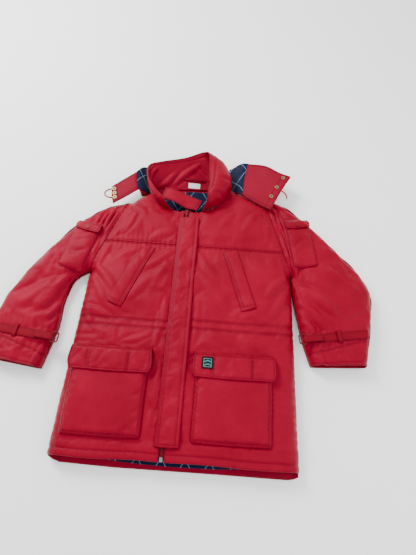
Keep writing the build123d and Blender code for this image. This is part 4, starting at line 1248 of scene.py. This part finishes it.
def sleeve_top(side, x, y):
    """Height of the sleeve's outer face."""
    outer, _ = to_path(x, y, OUTER_LINE[side])
    inner, along_inner = to_path(x, y, INNER_LINE[side])
    near = np.minimum(outer, inner)
    z = SEAM_Z + (TOP - 1.0 - SEAM_Z) * np.minimum(dome(outer / 20), dome(inner / 32))
    calm = arm_quiet(side, x, y)
    z = z + smooth(near / 34) * calm * (1.6 * noise(x, y, 70, 111) + 1.0 * noise(x, y + 0.5 * x, 30, 112))
    d, along, run = arm_seam(side, x, y)
    head = smooth((62 + d) / 26) * smooth(-d / 8)
    z = z + smooth(near / 14) * calm * (1.6 * folds(x, y, ARM_FOLDS[side]) - 6.0 * head)
    z = z + puckers(along_inner * 300, inner, 30, 113, 14, 0.9)
    share = np.exp(-((np.maximum(-d, 0) / 7) ** 2)) * smooth(along / 12 + 1)
    z = z * (1 - share) + seam_height(along, run) * share
    cuff, _ = to_segment(x, y, *STRAP_LINE[side])
    z = z + puckers(x, cuff - 22, 17, 114, 12, 1.6)
    drawn = np.exp(-((cuff / 17) ** 2))
    return np.minimum(z, TOP + 4) * (1 - drawn) + np.minimum(z, TOP - 1.5) * drawn


def sleeve_floor(side, x, y):
    """Middle of the sleeve's under half, curling up at the two long seams."""
    near = np.minimum(to_path(x, y, OUTER_LINE[side])[0], to_path(x, y, INNER_LINE[side])[0])
    curl = (SEAM_Z - 6.0) * (1 - dome(near / CURL_REACH))
    return 3.4 + curl + 0.5 * (1 + noise(x, y, 60, 121))


SLEEVE_TREE = {}
CUFF_STITCHES = [6.0, 52.0]  # from the cuff's edge
SLEEVE_WIDTH, SLEEVE_LENGTH = 215, 560  # about, to space the grid's lines
BLEND_BEFORE, BLEND_LENGTH = 9, 34  # how far before the armpit the blend starts, and its length; across is given them but does not use them
STRAP_HALF, STRAP_STITCHES = 12.5, [2.6, 22.4]
for k, side in enumerate(SIDES):
    out = OUT[side]
    outer, inner = through(OUTER_LINE[side]), through(INNER_LINE[side])
    head = through([SHOULDER[side], ARMPIT[side]])
    cuff = through([OUTER_LINE[side][-1], INNER_LINE[side][-1]])
    u, v = grid_lines(SLEEVE_WIDTH, 4.6), grid_lines(SLEEVE_LENGTH, 4.6, [], CUFF_STITCHES)
    plan = coons(head, cuff, outer, inner, u, v)
    x, y = plan[..., 0], plan[..., 1]
    p = face_up(lift(plan, sleeve_top(side, x, y) - 2.0))
    cuff_at = [-c for c in CUFF_STITCHES]
    held = np.maximum(pins(p, cuff_at, (), 10.0), 1 - arm_quiet(side, p[..., 0], p[..., 1]))
    p = settle(f"sleeve_{side}", p, held, spread=0.009, cap=5)
    upper = Piece(f"arm_top_{side}", p, 4.0, "shell_cloth", cuff_at, depth=1.0)
    body = f"sleeve_{side}"
    # the blend's start and end run past the armpit; across is given them but only bakes the piece's place, so
    # nothing turns with the cuff
    lean = radians(SWING_LEAN[side])
    past = np.array([out * cos(lean), sin(lean)])
    start = np.array(ARMPIT[side]) - past * BLEND_BEFORE
    end = start + past * BLEND_LENGTH
    turn = (body, (*start * MM, 0.02), (*end * MM, 0.02))

    upper.covers(f"sleeve_cap_{side}", f"sleeve_upper_{side}").padded(0.45).across(*turn)
    SLEEVE_TREE[side] = tree_over([upper.upper])
    p = face_up(lift(plan, sleeve_floor(side, x, y)))
    under = Piece(f"arm_under_{side}", p, 6.0, "shell_cloth", depth=0.8)
    under.covers(f"sleeve_cap_{side}", f"sleeve_under_{side}").padded(0.4).across(*turn)

    def narrowed(rows, share):
        """Rows of the sleeve's plan, drawn in towards its middle line."""
        part = plan[rows, 3:-3]
        centre = part.mean(axis=1, keepdims=True)
        part = centre + (part - centre) * share
        return part, part[..., 0], part[..., 1]

    part, x, y = narrowed(slice(16, -8), 0.8)
    below = np.minimum(lining_low + 0.6, height_on(SLEEVE_TREE[side], x, y, 22) - 8.5)
    for level, z in (("low", sleeve_floor(side, x, y) + 5.2), ("high", np.maximum(below, 11.5))):
        lining = Piece(f"arm_lining_{level}_{side}", face_up(lift(part, z)), 1.3, "lining_cloth", soft=1.0)
        lining.covers(f"sleeve_lining_{side}").sheet("laid", [f"arm_under_{side}"]).across(*turn)

    # the cuff's red facing ring, just inside the opening
    part, x, y = narrowed(slice(-11, -1), 0.9)
    below = height_on(SLEEVE_TREE[side], x, y, 20) - 6.6
    for level, z in (("low", sleeve_floor(side, x, y) + 4.4), ("high", np.maximum(below, 12.0))):
        facing = Piece(f"cuff_facing_{level}_{side}", face_up(lift(part, z)), 1.4, "shell_cloth", soft=1.0)
        facing.on(body, f"sleeve_lining_{side}")

    # patch pocket and its flap
    def on_sleeve(x, y, side=side):
        around = [(0, 0), (9, 0), (-9, 0), (0, 9), (0, -9)]
        level = np.mean([height_on(SLEEVE_TREE[side], x + a, y + b, TOP - 12) for a, b in around], axis=0)
        return np.clip(level + 0.8, TOP - 9.0, TOP + 1.0)

    put = framed(POCKET_TOP[side], POCKET_LEAN[side])
    pocket_low, pocket_high = box_mm(f"sleeve_pocket_{side}")
    pocket = patch_pocket(
        f"arm_pocket_{side}", put, 72.0, -164.0, -10.0, pocket_high[2] - pocket_low[2] - 0.4, on_sleeve,
        (3.5,), [3.5], 0.4, 130 + 10 * k,
    )
    pocket.on(body, f"sleeve_pocket_{side}").padded(0.3)
    flap_low, flap_high = box_mm(f"sleeve_flap_{side}")
    flap = pocket_flap(
        f"arm_flap_{side}", put, 79.0, 3.0, -31.0, flap_high[2] - 2.6 + 0.2, 2.6, flap_low[2],
        [4.0, 29.0], [], 150 + 10 * k, 0.25, on_sleeve,
    )
    flap.on(f"sleeve_flap_{side}", f"sleeve_flap_{side}").padded(0.3)

    # strap, keeper and tab at the cuff
    (x0, y0), (x1, y1) = STRAP_LINE[side]
    length = hypot(x1 - x0, y1 - y0)
    way = np.array([(x1 - x0) / length, (y1 - y0) / length])
    cross = np.array([-way[1], way[0]])

    def local_strip(s0, s1, half, step, rows=()):
        """Plan grid of a strip in the strap's frame, with its local coordinates."""
        s = s0 + (s1 - s0) * grid_lines(s1 - s0, step)
        t = -half + 2 * half * grid_lines(2 * half, step, rows)
        ss, tt = np.meshgrid(s, t)
        return np.array((x0, y0)) + ss[..., None] * way + tt[..., None] * cross, ss, tt

    strap_z = box_mm(f"cuff_strap_{side}")[1][2]
    plan2, ss, tt = local_strip(7.0, length - 34.0, STRAP_HALF, 2.6, STRAP_STITCHES)
    base = height_on(SLEEVE_TREE[side], plan2[..., 0], plan2[..., 1], SEAM_Z)
    near_tip = smooth((ss - 7) / 24)
    z = base * (1 - near_tip) + np.maximum(base, strap_z - 4.2) * near_tip + 2.6
    g = lift(plan2, np.minimum(z, strap_z + 0.2) - 0.8)
    strap = Piece(f"strap_{side}", face_up(g, rows=True), 2.4, "webbing", STRAP_STITCHES, depth=0.5, soft=1.4)
    strap.on(body, f"cuff_strap_{side}")
    middle = KEEPER_AT[side] * length
    keeper_high = box_mm(f"cuff_keeper_{side}")[1][2]
    plan2, ss, tt = local_strip(middle - 6, middle + 6, 19.0, 2.0)
    base = height_on(SLEEVE_TREE[side], plan2[..., 0], plan2[..., 1], TOP - 3)
    over = 1 - smooth((np.abs(tt) - STRAP_HALF) / 5.0)
    z = base + 1.0 + (keeper_high - 1.0 - base - 1.0) * over
    g = face_up(lift(plan2, z), rows=True)
    Piece(f"keeper_{side}", g, 2.0, "webbing", soft=1.4).on(body, f"cuff_keeper_{side}")

    bar_x, bar_z, rod = length + 4.0, TOP + 0.2 + 5.6, 2.0
    around = rod + 1.0
    path = [(length - 46, 52.2), (length - 24, 51.8)]
    path += [
        (bar_x + around * cos(radians(t)), bar_z + around * sin(radians(t))) for t in range(-90, 91, 30)
    ]
    path += [(length - 16, 55.3), (length - 46, 54.6)]
    loop = through(path)(np.linspace(0, 1, 46))
    t = np.linspace(-10, 10, 11)
    g = np.zeros((len(t), len(loop), 3))
    for i, off in enumerate(t):
        g[i, :, :2] = np.array((x0, y0)) + loop[:, :1] * way + off * cross
        g[i, :, 2] = loop[:, 1]
    Piece(f"tab_{side}", g, 1.3, "webbing", soft=1.0).on(body, f"cuff_tab_{side}")

# ---- collar -------------------------------------------------------------------------------------
COLLAR_KEYS = [  # foot on the neckline, the roll's control point, and the free edge
    ((-74, 229, 46), (-99, 221, 78), (-97, 238, 90)),
    ((-118, 250, 46), (-137, 247, 88), (-139, 284, 91)),
    ((-150, 292, 36), (-161, 300, 92), (-166, 336, 86)),
    ((-146, 322, 17), (-161, 354, 68), (-167, 384, 68)),
    ((-98, 328, 11), (-120, 372, 36), (-129, 409, 58)),
    ((-28, 334, 10), (-40, 392, 22), (-54, 436, 52)),
    ((44, 338, 11), (46, 400, 27), (3, 458, 60)),
    ((92, 338, 19), (108, 400, 82), (26, 424, 93)),
    ((98, 314, 38), (122, 336, 106), (32, 362, 95)),
    ((72, 264, 46), (88, 276, 100), (36, 308, 91)),
    ((18, 228, 46), (35, 236, 86), (31, 283, 87)),
]


COLLAR_LENGTH, COLLAR_HEIGHT = 560, 88
u = grid_lines(COLLAR_LENGTH, 4.0, [5.0, 13.0], [5.0, 13.0])
v = grid_lines(COLLAR_HEIGHT, 3.2, [], [4.0, 12.0])
key_places = np.linspace(0, 1, len(COLLAR_KEYS))
foot, roll, rim = (eased(np.array([key[k] for key in COLLAR_KEYS], float), key_places)(u) for k in range(3))
vv = v[:, None, None]
p = (1 - vv) ** 2 * foot[None] + 2 * vv * (1 - vv) * roll[None] + vv ** 2 * rim[None]
round_neck, up_collar = np.meshgrid(u * COLLAR_LENGTH, v * COLLAR_HEIGHT)
wave = 1.6 * noise(u * COLLAR_LENGTH, u * 0, 38, 161)[None, :] * v[:, None]
wave = wave + 1.1 * noise(round_neck, up_collar, 24, 162)
COLLAR_CREASES = [
    ((36, 14), (78, 70), 6, 7, 3.4), ((92, 8), (126, 72), -5, 7, 3.0), ((146, 12), (214, 70), 7, 7, 4.2),
    ((190, 6), (262, 58), -7, 8, 4.0), ((238, 10), (322, 66), 8, 8, 4.2), ((300, 60), (356, 12), -6, 8, 3.6),
    ((352, 16), (400, 74), 6, 8, 3.4), ((424, 12), (468, 72), -6, 8, 3.2), ((494, 10), (528, 68), 5, 8, 2.8),
]
p = p + normals(p) * (wave + folds(round_neck, up_collar, COLLAR_CREASES))[..., None]
collar = Piece(
    "collar_cloth", p, 5.0, "shell_cloth", [-12.0, -4.0], [5.0, 13.0, -13.0, -5.0], depth=1.2, both=True
)
collar.on("jacket_body", "collar").padded(0.45)

collar_tree = tree_over([collar.upper])
plan = grid_over("neck_label", 2.5, [2.0], [2.0], bow=0.3)
z = height_on(collar_tree, plan[..., 0], plan[..., 1], 16.0) + 0.7
Piece("label", lift(plan, z), 0.9, "label_cloth", soft=0.6).on("jacket_body", "neck_label")
low, high = box_mm("hanger_loop")
path = through([
    (low[0], low[2] + 4.0), (low[0] + 5, low[2] + 4.4), (low[0] + 12, high[2] - 1),
    ((low[0] + high[0]) / 2, high[2] + 1),
    (high[0] - 12, high[2] - 1), (high[0] - 5, low[2] + 4.6), (high[0], low[2] + 4.2),
])(np.linspace(0, 1, 40))
g = np.zeros((7, 40, 3))
for i, y in enumerate(np.linspace(low[1], high[1], 7)):
    on_collar = height_on(collar_tree, path[:, 0], 0 * path[:, 0] + y, 20.0)
    g[i, :, 0], g[i, :, 1], g[i, :, 2] = path[:, 0], y, on_collar + path[:, 1] - low[2] - 2.6
Piece("hanging_loop", g, 1.2, "webbing", soft=0.8).on("jacket_body", "hanger_loop")

# ---- hood ---------------------------------------------------------------------------------------
low, high = box_mm("hood_shell")
HOOD_EDGES = (  # lower, upper, right and left edges of its middle, under the collar
    [(-190, 300), (-150, 310), (-100, 334), (-28, 342), (60, 344), (120, 334), (152, 330)],
    [(-196, 392), (-150, 402), (-28, 424), (60, 428), (158, 428)],
    [(-190, 300), (-206, 350), (-196, 392)], [(152, 330), (160, 380), (158, 428)],
)
HOOD_FOLDS = [((-120, 412), (-60, 350), 6, 14, 2.5), ((40, 420), (90, 350), -6, 14, 2.5)]
lines = grid_lines(350, 5.0, [6.0], [6.0]), grid_lines(90, 5.0, [], [6.0])
plan = coons(*map(through, HOOD_EDGES), *lines)
x, y = plan[..., 0], plan[..., 1]
z = 4.2 + 0.5 * (1 + noise(x, y, 40, 171)) + 0.7 * folds(x, y, HOOD_FOLDS)
Piece("hood_under", lift(plan, np.maximum(z, 4.0)), 6.5, "shell_cloth", [84.0], [], depth=0.8).on(
    "jacket_body", "hood_shell"
).padded(0.4)

WING_SIDES = {  # lower, upper, inner and outer edges of the hood's red ends
    "right": (
        [(-193, 292), (-231, 258), (-266, 230)], [(-206, 362), (-242, 330), (-279, 296)],
        [(-193, 292), (-203, 330), (-206, 362)], [(-266, 230), (-276, 264), (-279, 296)],
    ),
    "left": (
        [(143, 300), (187, 272), (236, 248)], [(158, 428), (222, 424), (268, 400), (304, 388)],
        [(143, 300), (149, 370), (158, 428)], [(236, 248), (269, 322), (304, 388)],
    ),
}
LINING_SIDES = {  # and of the navy cloth between them and the collar
    "right": (
        [(-148, 304), (-172, 292), (-198, 296)], [(-150, 398), (-176, 396), (-208, 364)],
        [(-148, 304), (-154, 352), (-150, 398)], [(-198, 296), (-207, 330), (-208, 364)],
    ),
    "left": (
        [(98, 326), (122, 314), (148, 297)], [(98, 426), (128, 432), (162, 430)],
        [(98, 326), (104, 380), (98, 426)], [(148, 297), (153, 370), (162, 430)],
    ),
}
EYELETS = {
    "right": [(-270, 284), (-266, 268), (-263, 252)],
    "left": [(276, 378), (255, 338), (237, 300)],
}


def cut_holes(piece, places, radius):
    """Opens the cloth round each eyelet's axis, under the eyelet's rims."""
    bm = bmesh.new()
    bm.from_mesh(piece.data)
    gone = [
        f for f in bm.faces
        if min(hypot(f.calc_center_median().x / MM - x, f.calc_center_median().y / MM - y) for x, y in places)
        < radius
    ]
    bmesh.ops.delete(bm, geom=gone, context="FACES")
    bm.to_mesh(piece.data)
    bm.free()


WING_SIZE = {"right": (88.0, 62.0), "left": (130.0, 118.0)}
hood_low, hood_high = box_mm("hood_facing_right")
for k, side in enumerate(SIDES):
    width, height = WING_SIZE[side]
    plan = coons(
        *map(through, WING_SIDES[side]), grid_lines(width, 3.4, [3.5, width - 22.0, width - 3.5]),
        grid_lines(height, 3.4, [3.5, 9.0], [3.5, 9.0]),
    )
    x, y = plan[..., 0], plan[..., 1]
    d = edge_distances(np.concatenate([plan, 0 * plan[..., :1]], 2))
    near = to_border(d)
    z = (hood_low[2] + hood_high[2]) / 2 + 1.0 * noise(x, y, 34, 181 + k) * smooth(near / 14)
    z = z - 1.0 * puckers(d["bottom"], d["left"], 12, 183, 9, 0.5)
    grid = lift(plan, z)
    g = face_up(grid)
    columns = [3.5, -22.0, -3.5] if g is grid else [-3.5, 22.0, 3.5]
    wing = Piece(
        f"hood_end_{side}", g, 7.6, "facing_cloth", [3.5, 9.0, -9.0, -3.5], columns, depth=0.9, soft=5.0
    )
    cut_holes(wing.obj, EYELETS[side], 4.4)
    wing.on("hood_ends", f"hood_facing_{side}").padded(0.5)

    across = grid_lines(52, 3.4, [4.0])
    plan = coons(*map(through, LINING_SIDES[side]), across, grid_lines(90, 3.4, [4.0], [4.0]))
    x, y = plan[..., 0], plan[..., 1]
    outer_share = np.broadcast_to(across[None, :], x.shape)
    lower_z = 14.0 + 33.0 * smooth(outer_share * 1.25)
    g = face_up(lift(plan, lower_z + 4.0 + 2.0 * dome(outer_share) + 1.4 * noise(x, y, 26, 185 + k)))
    start, end = (np.array(LINING_SIDES[side][edge][1]) * MM for edge in (2, 3))
    turn = ("hood_ends", (*start, 0.03), (*end, 0.03))
    lining = Piece(f"hood_side_{side}", g, 3.0, "lining_cloth", [4.0], depth=0.8)
    lining.covers("hood_lining").padded(0.4).across(*turn)
    g = g - normals(g) * 4.4
    g[..., 2] = np.maximum(g[..., 2], 4.5)
    shell = Piece(f"hood_back_{side}", g, 3.6, "shell_cloth", depth=0.8)
    shell.covers("hood_shell").padded(0.4).across(*turn)

# ---- hard CAD parts that stay, with their finishes -----------------------------------------------
FINISH = {
    "zip_teeth": "zip_moulding", "zip_bottom_box": "box_metal", "zip_slider": "zip_metal",
    "zip_pull": "zip_metal", "hood_eyelets": "eyelet_metal",
}
for side in SIDES:
    FINISH[f"sleeve_stud_{side}"] = "snap_metal"
    FINISH[f"sleeve_snap_{side}"] = "snap_metal"
    FINISH[f"cuff_ring_{side}"] = "ring_moulding"
for name, finish in FINISH.items():
    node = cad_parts[name]
    if not node.material_slots:
        node.data.materials.append(MATERIAL[finish])
    for slot in node.material_slots:
        slot.material = MATERIAL[finish]

# ---- floor and light ----------------------------------------------------------------------------
floor_mesh = bpy.data.meshes.new("floor")
FLOOR_REACH, FLOOR_DROP = 6.0, -0.0006
corners = [(FLOOR_REACH * i, FLOOR_REACH * j, FLOOR_DROP) for i, j in ((-1, -1), (1, -1), (1, 1), (-1, 1))]
floor_mesh.from_pydata(corners, [], [(0, 1, 2, 3)])
floor = bpy.data.objects.new("floor", floor_mesh)
bpy.context.collection.objects.link(floor)
floor_look = Look("floor", 0.9)
floor_look.shade({"Base Color": floor_look.ramp(floor_look.noise(3.0), (0.95,) * 3, (0.98,) * 3, 0.2)})
floor_mesh.materials.append(floor_look.made)


def area_light(name, location, target, size, power, colour=(1, 1, 1)):
    data = bpy.data.lights.new(name, "AREA")
    data.shape, data.size, data.energy, data.color = "DISK", size, power, colour
    lamp = bpy.data.objects.new(name, data)
    bpy.context.collection.objects.link(lamp)
    lamp.location = location
    aim(lamp, target)


area_light("key", (-1.5, 1.3, 1.7), (0, 0, 0), 1.1, 90, (1.0, 0.98, 0.96))
area_light("fill", (1.6, -0.6, 1.8), (0, 0, 0), 2.2, 30, (0.95, 0.97, 1.0))
world = bpy.data.worlds.new("studio")
bpy.context.scene.world = world
world.use_nodes = True
world.node_tree.nodes["Background"].inputs["Color"].default_value = (1, 1, 1, 1)
world.node_tree.nodes["Background"].inputs["Strength"].default_value = 1.4
